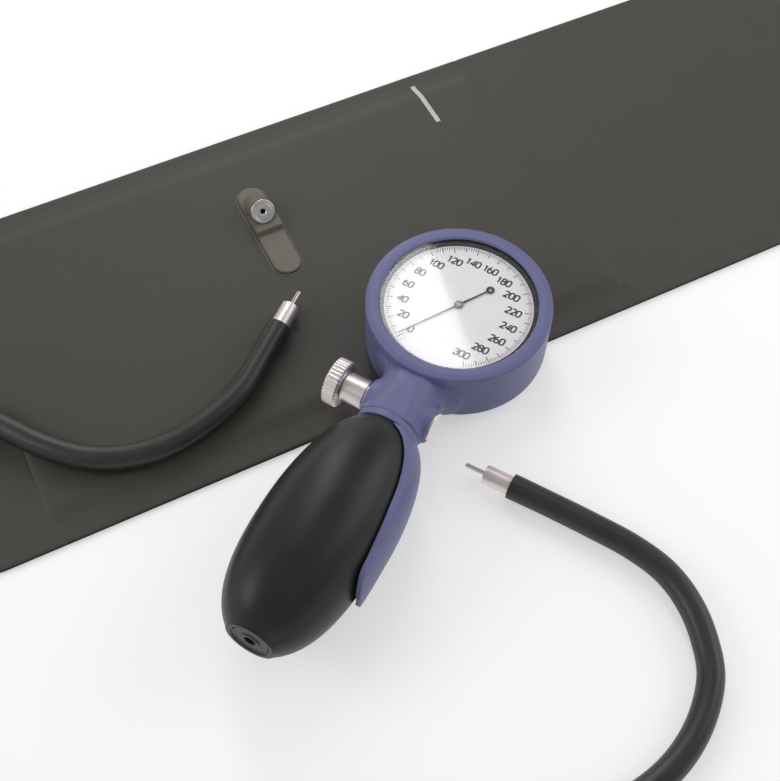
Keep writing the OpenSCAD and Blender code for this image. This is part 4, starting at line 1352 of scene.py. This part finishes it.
def ribbon(line: Points, width: float) -> Points:
    """A flat ribbon along a line: at each point it reaches half a width out, more at a sharp bend.

    Args:
        line: Points of the line; one that ends where it starts is closed.
        width: The ribbon's width.

    Returns:
        A grid of points, with the line as rows and the ribbon's two sides as columns.
    """
    is_open = np.linalg.norm(line[0] - line[-1]) > 1e-9
    ahead = np.roll(line, -1, 0) - np.roll(line, 1, 0)
    if is_open:
        ahead[0], ahead[-1] = line[1] - line[0], line[-1] - line[-2]
    else:
        ahead[0] = ahead[-1] = line[1] - line[-2]
    ahead = ahead / np.linalg.norm(ahead, axis=1, keepdims=True)
    side = np.stack([-ahead[:, 1], ahead[:, 0]], -1)
    before = np.roll(line, 1, 0) - line
    after = np.roll(line, -1, 0) - line
    cos = (before * after).sum(1) / (np.linalg.norm(before, axis=1) * np.linalg.norm(after, axis=1) + 1e-12)
    half = np.arccos(np.clip(cos, -1, 1)) / 2
    stretch = 1 / np.maximum(np.sin(half), 0.45)
    stretch[0] = stretch[-1] = 1
    reach = side * width / 2 * stretch[:, None]
    return np.stack([line + reach, line - reach], 1)


@dataclass
class Scale:
    """The dial's printed scale: lines and plain numbers from 0 to 300."""

    height: float
    ink: float = 0.02
    first: float = -150.0
    full: int = 300
    outer: float = 25.9
    tick_lengths: tuple[float, float, float] = (2.6, 2.1, 1.25)
    tick_widths: tuple[float, float] = (0.31, 0.2)
    number_radius: float = 19.6
    number_shift: tuple[float, float] = (-0.3, -0.15)
    full_shift: float = 0.8
    digit_height: float = 2.6
    digit_pitch: float = 1.95
    slant: float = 0.07
    pen: float = 0.62
    zero_box: tuple[float, float] = (1.35, 0.95)
    zero_box_radius: float = 24.2
    zero_box_value: float = -2.0
    zero_box_pen: float = 0.16

    def spot(self, value: Points | float, radius: Points | float) -> Points:
        """Places on the dial: the scale runs clockwise from its first line, a degree a unit."""
        angle = np.radians(90 - self.first - np.asarray(value, float))
        return joined(radius * np.cos(angle), radius * np.sin(angle))

    def lift(self, flat: Points) -> Points:
        """Flat points as ink just above the dial."""
        return np.concatenate([flat, np.full((*flat.shape[:-1], 1), self.height + self.ink)], -1)

    def ticks(self, shell: Shell) -> None:
        """Add the lines: each a quad along the radius, short each 2 units, longer each 10 and 20.

        Args:
            shell: The print in the making.
        """
        value = np.arange(0, self.full + 1, 2)
        is_ten = value % 10 == 0
        long, middle, short = self.tick_lengths
        length = np.where(value % 20 == 0, long, np.where(is_ten, middle, short))
        width = np.where(is_ten, *self.tick_widths)
        out = self.spot(value, self.outer)
        into = self.spot(value, self.outer - length)
        side = np.stack([-(out - into)[:, 1], (out - into)[:, 0]], -1)
        side = side / np.linalg.norm(side, axis=1, keepdims=True) * width[:, None] / 2
        shell.add_quads(self.lift(np.stack([out + side, out - side, into - side, into + side], 1)))

    def numbers(self, shell: Shell) -> None:
        """Add the numbers, upright and slightly slanted: each point moves by slant times its height.

        Args:
            shell: The print in the making.
        """
        size, pitch = self.digit_height, self.digit_pitch
        for value in range(0, self.full + 1, 20):
            digits = str(value)
            radius = self.number_radius + (self.full_shift if value == self.full else 0.0)
            middle = self.spot(value, radius) + self.number_shift
            wide = pitch * (len(digits) - 1)
            for k, name in enumerate(digits):
                left = middle + np.array([k * pitch - wide / 2 - Digit.width() / 2 * size, -size / 2])
                for stroke in Digit(name).strokes():
                    line = stroke * size
                    line[:, 0] += self.slant * (line[:, 1] - size / 2)
                    shell.add(self.lift(ribbon(line, self.pen) + left), (False, False))

    def box_at_zero(self, shell: Shell) -> None:
        """Add the small box by the zero, which shows that the pointer rests right.

        Args:
            shell: The print in the making.
        """
        half = np.array(self.zero_box)
        box = np.array([[-1, -1], [1, -1], [1, 1], [-1, 1], [-1, -1]]) * half
        angle = math.radians(90 - self.first - self.zero_box_value)
        turn = np.array([[math.cos(angle), math.sin(angle)], [-math.sin(angle), math.cos(angle)]])
        outline = box @ turn + self.spot(self.zero_box_value, self.zero_box_radius)
        shell.add(self.lift(ribbon(outline, self.zero_box_pen)), (False, False))

    def make(self) -> None:
        """Print the scale."""
        shell = Shell()
        self.ticks(shell)
        self.numbers(shell)
        self.box_at_zero(shell)
        shell.piece("printed_scale", INK, Body.INSTRUMENT, Slot.POINTER)


@dataclass
class Pointer:
    """The pointer at zero: hub, tapered needle, and a tail that ends in an open ring."""

    dial_top: float
    gap: float = 0.35
    tip: float = 24.8
    tail: float = 13.0
    thickness: float = 0.22
    ring: tuple[float, float] = (0.7, 1.5)
    rest: float = -147.5

    def make(self) -> None:
        """Make the needle with its ring, and the hub."""
        angle = math.radians(90 - self.rest)
        c, s = math.cos(angle), math.sin(angle)
        place = Place((0, 0, self.dial_top + self.gap), ((c, s, 0), (-s, c, 0), (0, 0, 1)))
        bore, rim = self.ring
        along = np.array([self.tip, self.tip - 0.4, 8.0, 1.0, -1.0, -6.0, rim - 0.15 - self.tail])
        half = np.array([0.05, 0.11, 0.2, 0.3, 0.32, 0.26, 0.24])
        corners = ((1, 0), (1, self.thickness), (-1, self.thickness), (-1, 0))
        loop = np.stack([joined(along, k * half, z) for k, z in corners], 1)
        shell = Shell().add(place.put(loop), (False, True))
        for row in (loop[0], loop[-1]):
            shell.add(place.put(np.stack([row[[0, 1]], row[[3, 2]]])), (False, False))
        ring = filleted([(bore, 0, 0.05), (rim, 0, 0.05), (rim, 0.25, 0.08), (bore, 0.25, 0.08)], steps=2)
        shell.add(place.put(turned(ring, 48) - np.array([self.tail, 0, 0])), (True, True))
        shell.piece("pointer_needle", POINTER_INK, Body.POINTER, Slot.POINTER, ["pointer"])
        hub = [(0.5, -0.1, 0), (1.6, -0.1, 0.1), (1.6, 0.3, 0.2), (0.8, 0.55, 0.3), (0.0, 0.6, 0)]
        hub = filleted(hub, closed=False, steps=4)
        lathed(hub, 48, place, closed=False).piece("pointer_hub", HUB_METAL, Body.POINTER, Slot.STEEL)


# Hose


@dataclass
class Hose:
    """Rubber hose with a sleeve and a split pin at each end."""

    radius: float = 4.4
    end_radius: float = 4.5
    end_taper: float = 14.0
    end_round: float = 0.6
    on_cuff: float = 8.0
    on_table: float = 4.5
    sleeve_radius: float = 3.45
    sleeve_start: float = -0.4
    sleeve_end: float = 9.8
    pin_radius: float = 0.85
    pin_slot: float = 0.15
    pin_end: float = 17.1

    def route(self) -> Points:
        """The hose's middle line, as listed points, from the end on the cuff to the end on the table.

        Returns:
            Points in millimetres.
        """
        left = [
            (-58.2, -28.2), (-57, -42), (-56, -55), (-57, -65), (-60, -76), (-65, -87), (-72, -96),
            (-81, -103), (-92, -107.5), (-105, -109.5), (-121, -110),
        ]
        hidden = [
            (-137, -112, 0), (-152, -120, -0.6), (-162, -135, -2), (-164, -153, -3.2), (-158, -171, -3.5),
            (-146, -187, -3.5), (-129, -201, -3.5), (-109, -212, -3.5), (-87, -219, -3.5),
            (-64, -221, -3.5), (-40, -217, -3.5), (-16, -208, -3.5), (8, -197, -3.5), (32, -185, -3.5),
            (56, -172, -3.5), (79, -158, -3.5), (99, -143, -3.5),
        ]
        right = [
            (115, -127), (125, -110), (128.8, -93), (127.1, -76.2), (120.6, -64.4), (111.7, -55),
            (101, -48.7), (88, -45.8), (73, -45), (58, -44.7), (43.6, -44.7),
        ]
        points = [(x, y, self.on_cuff) for x, y in left]
        points += [(x, y, self.on_cuff + z) for x, y, z in hidden]
        points += [(x, y, self.on_table) for x, y in right]
        return np.array(points, float)

    def line(self, steps: int = 8) -> Points:
        """The route as one smooth Catmull-Rom curve, a cubic through each stretch's four nearest points.

        Args:
            steps: Points in each stretch.

        Returns:
            The curve's points.
        """
        p = self.route()
        padded = np.concatenate([p[:1], p, p[-1:]])
        t = (np.arange(steps) / steps)[None, :, None]
        a, b, c, d = (padded[k : len(padded) - 3 + k][:, None] for k in range(4))
        curve = 2 * b + (c - a) * t + (2 * a - 5 * b + 4 * c - d) * t**2 + (3 * b - a - 3 * c + d) * t**3
        return np.concatenate([0.5 * curve.reshape(-1, 3), p[-1:]])

    def make(self) -> None:
        line = self.line()
        steps = np.linalg.norm(np.diff(line, axis=0), axis=1)
        along = np.concatenate([[0], np.cumsum(steps)])
        hose = self.tube(line, along).piece("hose_tube", HOSE_RUBBER, Body.HOSE, Slot.HOSE_RUBBER, ["hose"])
        2 * self.radius * MM
        self.make_connectors(line)

    def tube(self, line: Points, along: Points) -> Shell:
        """A round tube along the line, slightly wider at its ends, which are closed and rounded.

        Args:
            line: The hose's middle line.
            along: Distance of each of its points from the first.

        Returns:
            The shell.
        """
        ahead = np.gradient(line, axis=0)
        ahead /= np.linalg.norm(ahead, axis=1, keepdims=True)
        side = np.cross(ahead, UP)
        side /= np.linalg.norm(side, axis=1, keepdims=True)
        up = np.cross(side, ahead)
        from_end = np.minimum(along, along[-1] - along)
        radius = self.end_radius + (self.radius - self.end_radius) * smoothstep(from_end, 0, self.end_taper)
        angle = np.linspace(0, 2 * math.pi, 32, endpoint=False)[None, :, None]
        spoke = np.cos(angle) * side[:, None] + np.sin(angle) * up[:, None]
        tube = line[:, None] + radius[:, None, None] * spoke
        flat = joined(along[:, None], angle[..., 0] * self.radius) * MM
        shell = Shell().add(tube, (False, True), flat)
        out = np.array([0.0, 0.35, 0.55, 0.6, 0.6])[:, None, None] - self.end_round
        wide = np.array([1.0, 0.97, 0.9, 0.82, 0.0])[:, None, None]
        for i, sign in ((0, -1), (-1, 1)):
            shell.add(line[i] + sign * out * ahead[i] + wide * radius[i] * spoke[i], (False, True))
        return shell

    def make_connectors(self, line: Points) -> list[bpy.types.Object]:
        """Make a sleeve and a split pin at each end.

        Args:
            line: The hose's middle line.

        Returns:
            The four pieces.
        """
        made = []
        r, low, high = self.sleeve_radius, self.sleeve_start, self.sleeve_end
        sleeve = filleted(
            [(0, low, 0), (3.2, low, 0), (r, low + 0.7, 0.2), (r, high, 0.4), (1.3, high, 0.1),
             (1.1, high - 0.3, 0.1), (0, high - 0.3, 0)],
            closed=False,
        )
        for end, mouth, inside in (("a", line[0], line[4]), ("b", line[-1], line[-5])):
            out = (mouth - inside) / np.linalg.norm(mouth - inside)
            place = Place(tuple(mouth.tolist()), (tuple(np.cross(UP, out)), UP, tuple(out)))
            shell = lathed(sleeve, 64, place, closed=False)
            node = f"sleeve_{end}"
            made.append(shell.piece(f"{node}_turned", CONNECTOR, Body.HOSE, Slot.CHROME, [node]))
            made.append(self.make_pin(place, end))
        return made

    def make_pin(self, place: Place, end: str) -> bpy.types.Object:
        """Make a pin of two prongs: each is half a round bar, flat towards the slot.

        Args:
            place: The connector's frame.
            end: Letter of the hose's end.

        Returns:
            The pin.
        """
        root, tip = 10.35, self.pin_end
        along = np.array([9.0, root - 0.05, root + 0.05, tip - 0.4, tip - 0.1, tip, tip])
        size = np.array([1.0, 1.0, 1.0, 1.0, 0.9, 0.72, 0.0])
        angle = np.linspace(-math.pi / 2, math.pi / 2, 17)
        x = np.maximum(self.pin_radius * np.cos(angle), self.pin_slot)
        half = joined(np.append(x, self.pin_slot), np.append(self.pin_radius * np.sin(angle), 0.0))
        middle = half.mean(0)
        loop = middle + (half - middle) * size[:, None, None]
        is_slotted = (along > root)[:, None]
        is_flat = loop[..., 0] <= self.pin_slot * 1.001
        across = np.where(is_flat & ~is_slotted, 0.0, loop[..., 0])
        shell = Shell()
        for way in (-1, 1):
            grid = joined(way * across, loop[..., 1], along[:, None])
            shell.add(place.put(grid), (False, True))
        return shell.piece(f"pin_{end}_split", CONNECTOR, Body.HOSE, Slot.CHROME, [f"pin_{end}"])


# Cuff


def half_round(distance: Points, radius: float) -> Points:
    """Height of a quarter circle at a distance from an edge: the root of 1 - (1 - distance / radius)^2."""
    return np.sqrt(1 - (1 - np.clip(distance / radius, 0, 1)) ** 2)


def corner_inset(gap: Points, radius: float) -> Points:
    """How far a quarter circle draws an edge in, at a gap from the strip's end."""
    rest = np.clip(radius - gap, 0, radius)
    return radius - np.sqrt(radius**2 - rest**2)


def groove(distance: Points, width: float) -> Points:
    """1 on a line, falling to 0 at half a width from it."""
    return 1 - smoothstep(np.abs(distance), 0, width / 2)


@dataclass
class Cuff:
    """Flat arm cuff: lining, bladder, loop cover with seams and an index line, hook tape and port."""

    nodes: dict[str, bpy.types.Object]
    angle: float = 54.7
    start: float = -194.0
    length: float = 530.0
    near: float = -14.0
    width: float = 145.0
    corners: tuple[float, float, float] = (20.0, 60.0, 30.0)
    bladder_start: float = -155.0
    bladder_length: float = 224.0
    bladder_inset: float = 12.0
    bladder_lift: float = 1.5
    lining_top: float = 1.0
    flat_top: float = 2.0
    unevenness: float = 0.12
    seam_depth: float = 0.3
    edge_seam: float = 4.5
    cover_edge: float = 1.3
    lining_edge: float = 0.8
    tape_inset: float = 14.0
    tape_length: float = 85.0
    tape_pocket: float = 0.62
    mark_along: float = 45.7
    mark_across: tuple[float, float] = (100.4, 124.5)
    mark_half_width: float = 1.0

    def place(self) -> Place:
        """X along the cuff, Y across it."""
        c, s = math.cos(math.radians(self.angle)), math.sin(math.radians(self.angle))
        return Place((0, 0, 0), ((c, s, 0), (-s, c, 0), (0, 0, 1)))

    def bounds_across(self, u: Points) -> tuple[Points, Points]:
        """Near and far edge of the cuff, where the corners are quarter circles.

        Args:
            u: Places along the cuff.

        Returns:
            The places across it of the two edges.
        """
        near_r, far_r, end_r = self.corners
        left, right = u - self.start, self.start + self.length - u
        end = corner_inset(right, end_r)
        low = self.near + np.maximum(corner_inset(left, near_r), end)
        high = self.near + self.width - np.maximum(corner_inset(left, far_r), end)
        return low, high

    def inside(self, u: Points, v: Points) -> Points:
        """Distance from the cuff's edge: to the nearest side, or to the arc near a corner.

        Args:
            u: Places along the cuff.
            v: Places across it.

        Returns:
            The distances, 0 outside.
        """
        near_r, far_r, end_r = self.corners
        left, right = u - self.start, self.start + self.length - u
        down, up = v - self.near, self.near + self.width - v
        distance = np.minimum(np.minimum(left, right), np.minimum(down, up))
        corners = ((left, down, near_r), (left, up, far_r), (right, down, end_r), (right, up, end_r))
        for along, across, radius in corners:
            in_corner = (along < radius) & (across < radius)
            distance = np.where(in_corner, radius - np.hypot(radius - along, radius - across), distance)
        return np.maximum(distance, 0)

    def grid(self, fine: float) -> tuple[Points, Points]:
        """Places along and across, closer together at the edges, round the corners and at the seams.

        Args:
            fine: Distance between rows in the middle.

        Returns:
            The two coordinates of each point.
        """
        length, (_, far_r, end_r) = self.length, self.corners
        edge = np.array([0, 0.15, 0.4, 0.8, 1.4, 2.4, 4.0])
        far_turn = far_r * (1 - np.cos(np.linspace(0, math.pi / 2, 30)))
        end_turn = end_r * (1 - np.cos(np.linspace(0, math.pi / 2, 20)))
        near_seam = np.array([-1.2, -0.8, -0.4, 0, 0.4, 0.8, 1.2])
        seams = np.concatenate([near_seam + end - self.start for end in self.cross_seams()])
        middle = np.arange(far_r + fine, length - end_r - 1, fine)
        middle = middle[np.abs(middle[:, None] - seams).min(1) > 0.3]
        parts = [edge, far_turn, middle, seams, length - end_turn, length - edge]
        along = np.unique(np.concatenate(parts).round(3))
        along = along[np.concatenate([[True], np.diff(along) > 0.1])]
        along[-1] = length
        rows = np.arange(edge[-1] + fine, self.width - edge[-1] - fine / 2, fine)
        across = np.concatenate([edge, rows, (self.width - edge)[::-1]])
        u = self.start + along[:, None] + 0 * across
        low, high = self.bounds_across(u)
        return u, low + (high - low) * across / self.width

    def cross_seams(self) -> tuple[float, float]:
        """Places along the cuff of the two seams that hold the bladder."""
        return self.bladder_start - 1, self.bladder_start + self.bladder_length + 1

    def bladder_rise(self, u: Points, v: Points) -> Points:
        """1 over the bladder, falling softly to 0 at its seams: a smooth step of the distance from its edge.

        Args:
            u: Places along the cuff.
            v: Places across it.

        Returns:
            The rise.
        """
        left, right = u - self.bladder_start, self.bladder_start + self.bladder_length - u
        down = v - self.near - self.bladder_inset
        up = self.near + self.width - self.bladder_inset - v
        edge = np.minimum(np.minimum(left, right), np.minimum(down, up))
        return smoothstep(edge, -4.5, 3.5)

    def wave(self, u: Points, v: Points) -> Points:
        """Slow unevenness of cloth that lies flat, as a sum of crossed sines."""
        crossed = np.sin(u / 23 + 0.6 * np.sin(v / 31)) * np.sin(v / 19 + 1.1)
        return crossed + 0.6 * np.sin(u / 11.3 - v / 17.1 + 0.8) + 0.4 * np.sin(u / 41 + v / 13.7)

    def top(self, u: Points, v: Points, settled: Points | float = 1.0) -> Points:
        """Height of the cover: flat cloth, the bladder's rise, slow waves and the groove of the edge's seam.

        Args:
            u: Places along the cuff.
            v: Places across it.
            settled: Share of the waves that is left.

        Returns:
            The heights.
        """
        rise = self.bladder_lift * self.bladder_rise(u, v) + self.unevenness * self.wave(u, v) * settled
        return self.flat_top + rise - self.seam_depth * groove(self.inside(u, v) - self.edge_seam, 1.8)

    def sheet(self, low: Points, high: Points, u: Points, v: Points, fold: float) -> Shell:
        """A closed cloth of two faces, drawn together at its edge in a half round.

        Args:
            low: Height of its underside.
            high: Height of its top.
            u: Places along the cuff.
            v: Places across it.
            fold: Radius of the rounded edge.

        Returns:
            The shell.
        """
        share = half_round(self.inside(u, v), fold)
        middle = (low + np.minimum(high, low + 1.0)) / 2
        flat = joined(u, v) * MM
        shell = Shell()
        for face in (low, high):
            grid = joined(u, v, middle + (face - middle) * share)
            shell.add(self.place().put(grid), (False, False), flat)
        return shell

    def make(self) -> None:
        """Make the cuff's pieces."""
        u, v = self.grid(1.6)
        self.make_cover(u, v)
        self.make_lining(u, v)
        self.make_tape()
        self.make_mark()
        Port(self.nodes, self.place()).make()

    def make_cover(self, u: Points, v: Points) -> None:
        """Make the cover: its waves fade towards the edge, and two seams cross it.

        Args:
            u: Places along the cuff.
            v: Places across it.
        """
        across = sum(groove(u - seam, 2.4) for seam in self.cross_seams())
        high = self.top(u, v, smoothstep(self.inside(u, v), 2, 14)) - self.seam_depth * across
        cover = self.sheet(0 * u + self.lining_top, high, u, v, self.cover_edge).piece(
            "cover_cloth", COVER_CLOTH, Body.CUFF, Slot.CUFF_FABRIC, ["cuff_cover"]
        )

    def tape_start(self) -> float:
        """Place along the cuff where the hook tape starts."""
        return self.start + self.length - self.tape_inset - self.tape_length

    def make_lining(self, u: Points, v: Points) -> None:
        """Make the lining, whose underside steps up where the hook tape is let in.

        Args:
            u: Places along the cuff.
            v: Places across it.
        """
        along = u - self.tape_start()
        across = v - self.near - self.tape_inset
        tape_width = self.width - 2 * self.tape_inset
        edge = np.minimum(
            np.minimum(along, self.tape_length - along), np.minimum(across, tape_width - across)
        )
        low = self.tape_pocket * smoothstep(edge, -1.2, 0.2)
        lining = self.sheet(low, 0 * u + self.lining_top, u, v, self.lining_edge).piece(
            "lining_cloth_sheet", LINING_CLOTH, Body.CUFF, Slot.LINING_FABRIC, ["cuff_lining"]
        )

    def make_tape(self) -> None:
        """Make the hook tape: two faces drawn together at its edge in a half round."""
        long, wide = self.tape_length, self.width - 2 * self.tape_inset
        low, high = 0.02, self.tape_pocket - 0.04
        a, b = np.meshgrid(np.linspace(0, long, 60), np.linspace(0, wide, 80), indexing="ij")
        share = half_round(np.minimum(np.minimum(a, long - a), np.minimum(b, wide - b)), 0.6)
        middle = (low + high) / 2
        shell = Shell()
        for height in (low, high):
            z = middle + (height - middle) * share
            grid = joined(a + self.tape_start(), b + self.near + self.tape_inset, z)
            shell.add(self.place().put(grid), (False, False), joined(a, b) * MM)
        shell.piece("hook_tape_patch", HOOK_TAPE, Body.CUFF, Slot.HOOK, ["hook_patch"])

    def make_mark(self) -> None:
        """Make the printed index line, which follows the cover's top."""
        half, print_height = self.mark_half_width, 0.03
        v = np.linspace(*self.mark_across, 60)[:, None]
        u = self.mark_along + np.array([[-half, -half / 3, half / 3, half]])
        u, v = np.broadcast_arrays(u, v)
        grid = self.place().put(joined(u, v, self.top(u, v) + print_height))
        shell = Shell().add(grid, (False, False), joined(u, v) * MM)
        shell.piece("index_line", PRINT_WHITE, Body.CUFF, Slot.DIAL)


@dataclass
class Port:
    """Rubber port of the cuff with its metal face; the rim's places across are those of the cuff."""

    nodes: dict[str, bpy.types.Object]
    cuff: Place
    along: float = -41.0
    face_v: float = 82.0
    face_z: float = 10.2
    slope: float = 40.0
    radius: float = 4.7
    bore: float = 1.0
    stem: float = 2.0
    depth: float = 7.4
    rim_half: float = 5.95
    rim_near: float = 54.2
    rim_far: float = 100.8
    rim_base: float = 3.4
    rim_width: float = 0.55
    rim_height: float = 0.38

    def make(self) -> None:
        """Make the moulding, its welded rim and the metal face."""
        boot = remodelled(self.nodes["port_boot"], "port_moulding", 0.3)
        relaxed(boot.data, lambda points: np.full(len(points), 0.9), 5)
        dress(boot, PORT_RUBBER, Body.CUFF, ["port_boot"], 60)
        self.make_rim()
        self.make_face()

    def make_face(self) -> None:
        """Make the metal face: it slopes up from the cuff, and a fine ring is turned into it."""
        c, s = math.cos(math.radians(self.slope)), math.sin(math.radians(self.slope))
        axes = np.array([[1, 0, 0], [0, s, c], [0, -c, s]]) @ np.asarray(self.cuff.axes)
        middle = self.cuff.at(self.along, self.face_v, self.face_z)
        place = Place(middle, tuple(tuple(row) for row in axes.tolist()))
        b, r, stem, foot = self.bore, self.radius, self.stem, -self.depth
        profile = filleted(
            [(b, foot, 0), (b, -0.3, 0.1), (b + 0.3, 0, 0.08), (r - 1.4, 0, 0.1), (r - 1.25, -0.1, 0.05),
             (r - 1.1, 0, 0.1), (r, 0, 0.3), (r, -0.8, 0), (stem, -0.8, 0), (stem, foot, 0)]
        )
        shell = lathed(profile, 96, place)
        shell.piece("port_metal_face", PORT_METAL, Body.CUFF, Slot.PORT_METAL, ["port_bushing"])

    def make_rim(self) -> None:
        """Make the thin welded rim round the port: a low half round along a rounded slot, coloured lighter
        than the cover as a painted sheen of the glossy weld.
        """
        half, far, near = self.rim_half, self.rim_far - self.rim_half, self.rim_near + self.rim_half
        turn = np.linspace(0, math.pi, 40)
        end = joined(np.cos(turn), np.sin(turn))
        out = np.concatenate([end, -end])
        line = half * out + np.repeat([[0, far], [0, near]], len(turn), 0)
        swell = np.linspace(0, math.pi, 9)[None, :, None]
        flat = line[:, None] + out[:, None] * np.cos(swell) * self.rim_width
        height = self.rim_base + self.rim_height * np.sin(swell[..., 0])
        grid = joined(flat[..., 0] + self.along, flat[..., 1], height)
        shell = Shell().add(self.cuff.put(grid), (True, True), flat * MM)
        # The rim's lighter finish is a painted sheen, not the weld's own colour.
        shell.piece("port_rim", WELD_PAINTED_SHEEN, Body.CUFF, Slot.CUFF_FABRIC)


# Hidden works


@dataclass
class Works:
    """The pieces inside, which keep their CAD shapes and get their finishes."""

    nodes: dict[str, bpy.types.Object]

    def make(self) -> None:
        """Dress each inner node."""
        finishes = {
            STEEL: ("rocking_shaft", "bridge_screws", "push_pin"),
            BRASS: ("pinion_arbor", "toothed_sector", "capsule_stem", "valve_seat", "valve_spindle"),
            BLUED: ("hairspring",),
            PLATE: ("movement_plate", "movement_bridge", "movement_pillars"),
            CAPSULE: ("capsule",),
            PLUG_PLASTIC: ("bulb_tube",),
            DISC_RUBBER: ("outlet_disc", "inlet_disc"),
            GASKET: ("spindle_seal", "socket_seal"),
            BLADDER_RUBBER: ("cuff_bladder",),
        }
        for finish, names in finishes.items():
            for name in names:
                for slot in self.nodes[name].material_slots:
                    slot.material = finish.material()
                LOG.info("%s dressed as %s", name, finish.name)


# Studio


def stand(
    data: bpy.types.Camera | bpy.types.Light, axes: tuple[Points, Points, Points], at: Vector
) -> bpy.types.Object:
    """Stand a camera or a lamp in the scene; either looks along its own -Z.

    Args:
        data: The camera or the lamp.
        axes: Its own X, Y and Z in the row frame.
        at: Its place in millimetres.

    Returns:
        The object.
    """
    matrix = np.eye(4)
    matrix[:3, :3] = np.stack(axes, -1)
    matrix[:3, 3] = np.array(at) * MM
    stood = bpy.data.objects.new(data.name, data)
    stood.matrix_world = matrix.T.tolist()
    bpy.context.scene.collection.objects.link(stood)
    return stood


@dataclass
class Lamp:
    """A soft lamp that faces the gauge: its glow is its brightness, where 1 is white."""

    name: str
    at: Vector
    size: tuple[float, float]
    glow: float
    edge: Vector = UP

    def make(self) -> None:
        """Hang the lamp, with its first side as near to the direction of its edge as it can be."""
        data = bpy.data.lights.new(self.name, "AREA")
        data.shape = "RECTANGLE"
        data.size, data.size_y = self.size[0] * MM, self.size[1] * MM
        data.energy = self.glow * math.pi * data.size * data.size_y
        back = np.array(self.at) / np.linalg.norm(self.at)
        second = np.cross(back, self.edge)
        second /= np.linalg.norm(second)
        stand(data, (np.cross(second, back), second, back), self.at)


@dataclass
class Studio:
    """White table, soft lamps and the camera."""

    focal_pixels: float = 1170.95
    frame_pixels: float = 781.0
    sensor: float = 36.0
    camera_at: Vector = (89.58, -225.07, 361.2)
    camera_right: Vector = (0.88034, 0.47413, 0.01079)
    camera_down: Vector = (0.40913, -0.74775, -0.52290)
    world_light: float = 0.43
    ceiling_light: float = 0.32
    table_albedo: float = 0.68
    table_glow: float = 0.45
    table_half: float = 6000.0
    table_drop: float = 0.2

    def make(self) -> None:
        """Make the camera, the lamps, the world and the table."""
        self.make_camera()
        self.make_world()
        self.make_table()
        window_edge = (-0.6032, 0.3377, -0.7226)
        Lamp("window", (-532.9, 643.7, 745.7), (900, 240), 4.5, window_edge).make()
        Lamp("side", (-756, -530, 600), (420, 560), 3.2).make()
        Lamp("back", (640, 640, 560), (520, 700), 2.0).make()
        bpy.context.scene.view_settings.view_transform = "Standard"

    def make_camera(self) -> None:
        """Make the camera at the photograph's place, a pixel higher than the frame's middle."""
        right, up = np.array(self.camera_right), -np.array(self.camera_down)
        data = bpy.data.cameras.new("camera")
        data.sensor_width = self.sensor
        data.lens = self.focal_pixels * self.sensor / self.frame_pixels
        data.shift_y = -1.0 / self.frame_pixels
        data.clip_start = 0.01
        bpy.context.scene.camera = stand(data, (right, up, np.cross(right, up)), self.camera_at)

    def make_world(self) -> None:
        """Make a world that is white where it is seen, mirrored white low down, and softer as light."""
        world = bpy.data.worlds.new("studio")
        world.use_nodes = True
        tree = world.node_tree
        path = tree.nodes.new("ShaderNodeLightPath")
        seen, mirrored, through = (
            Signal(tree, path.outputs[f"Is {kind} Ray"]) for kind in ("Camera", "Glossy", "Transmission")
        )
        towards = tree.nodes.new("ShaderNodeSeparateXYZ")
        tree.links.new(tree.nodes.new("ShaderNodeTexCoord").outputs["Generated"], towards.inputs[0])
        low = Signal(tree, towards.outputs["Z"]).step(0.3, 0.0)
        plain, ceiling = self.world_light, self.ceiling_light
        lit = plain + mirrored * (low * (1 - ceiling) + (ceiling - plain))
        shown = seen.most(through)
        strength = shown + (1 - shown) * lit
        ground = tree.nodes["Background"]
        ground.inputs["Color"].default_value = (1, 1, 1, 1)
        plug(tree, ground.inputs["Strength"], strength.least(1.0))
        bpy.context.scene.world = world

    def make_table(self) -> None:
        """Make the pale table: a lit white surface that reads as white and keeps its shadows."""
        shader = Shader("table_white")
        glow = shader.rays("Camera", "Glossy", "Transmission") * self.table_glow
        shader.set(Base_Color=(self.table_albedo,) * 3, Roughness=0.9, Specular_IOR_Level=0.2)
        shader.set(Emission_Color=glow, Emission_Strength=1.0)
        side, low = self.table_half * MM, -self.table_drop * MM
        mesh = bpy.data.meshes.new("table")
        corners = [(x, y, low) for x, y in ((-side, -side), (side, -side), (side, side), (-side, side))]
        mesh.from_pydata(corners, [], [(0, 1, 2, 3)])
        mesh.materials.append(shader.material)
        table = bpy.data.objects.new("table", mesh)
        bpy.context.scene.collection.objects.link(table)


def main() -> None:
    """Build the sub-assemblies in order."""
    logging.basicConfig(level=logging.INFO, format="%(message)s")
    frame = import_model()
    nodes = frame["nodes"]
    line = HandleLine()
    Studio().make()
    Hose().make()
    Cuff(nodes).make()
    Gauge(line, nodes).make()
    bulb = Bulb(line)
    bulb.make()
    Spoon(line, bulb).make()
    ReleaseValve(line).make()
    HoseSocket(line).make()
    Works(nodes).make()


if __name__ == "__main__":
    main()
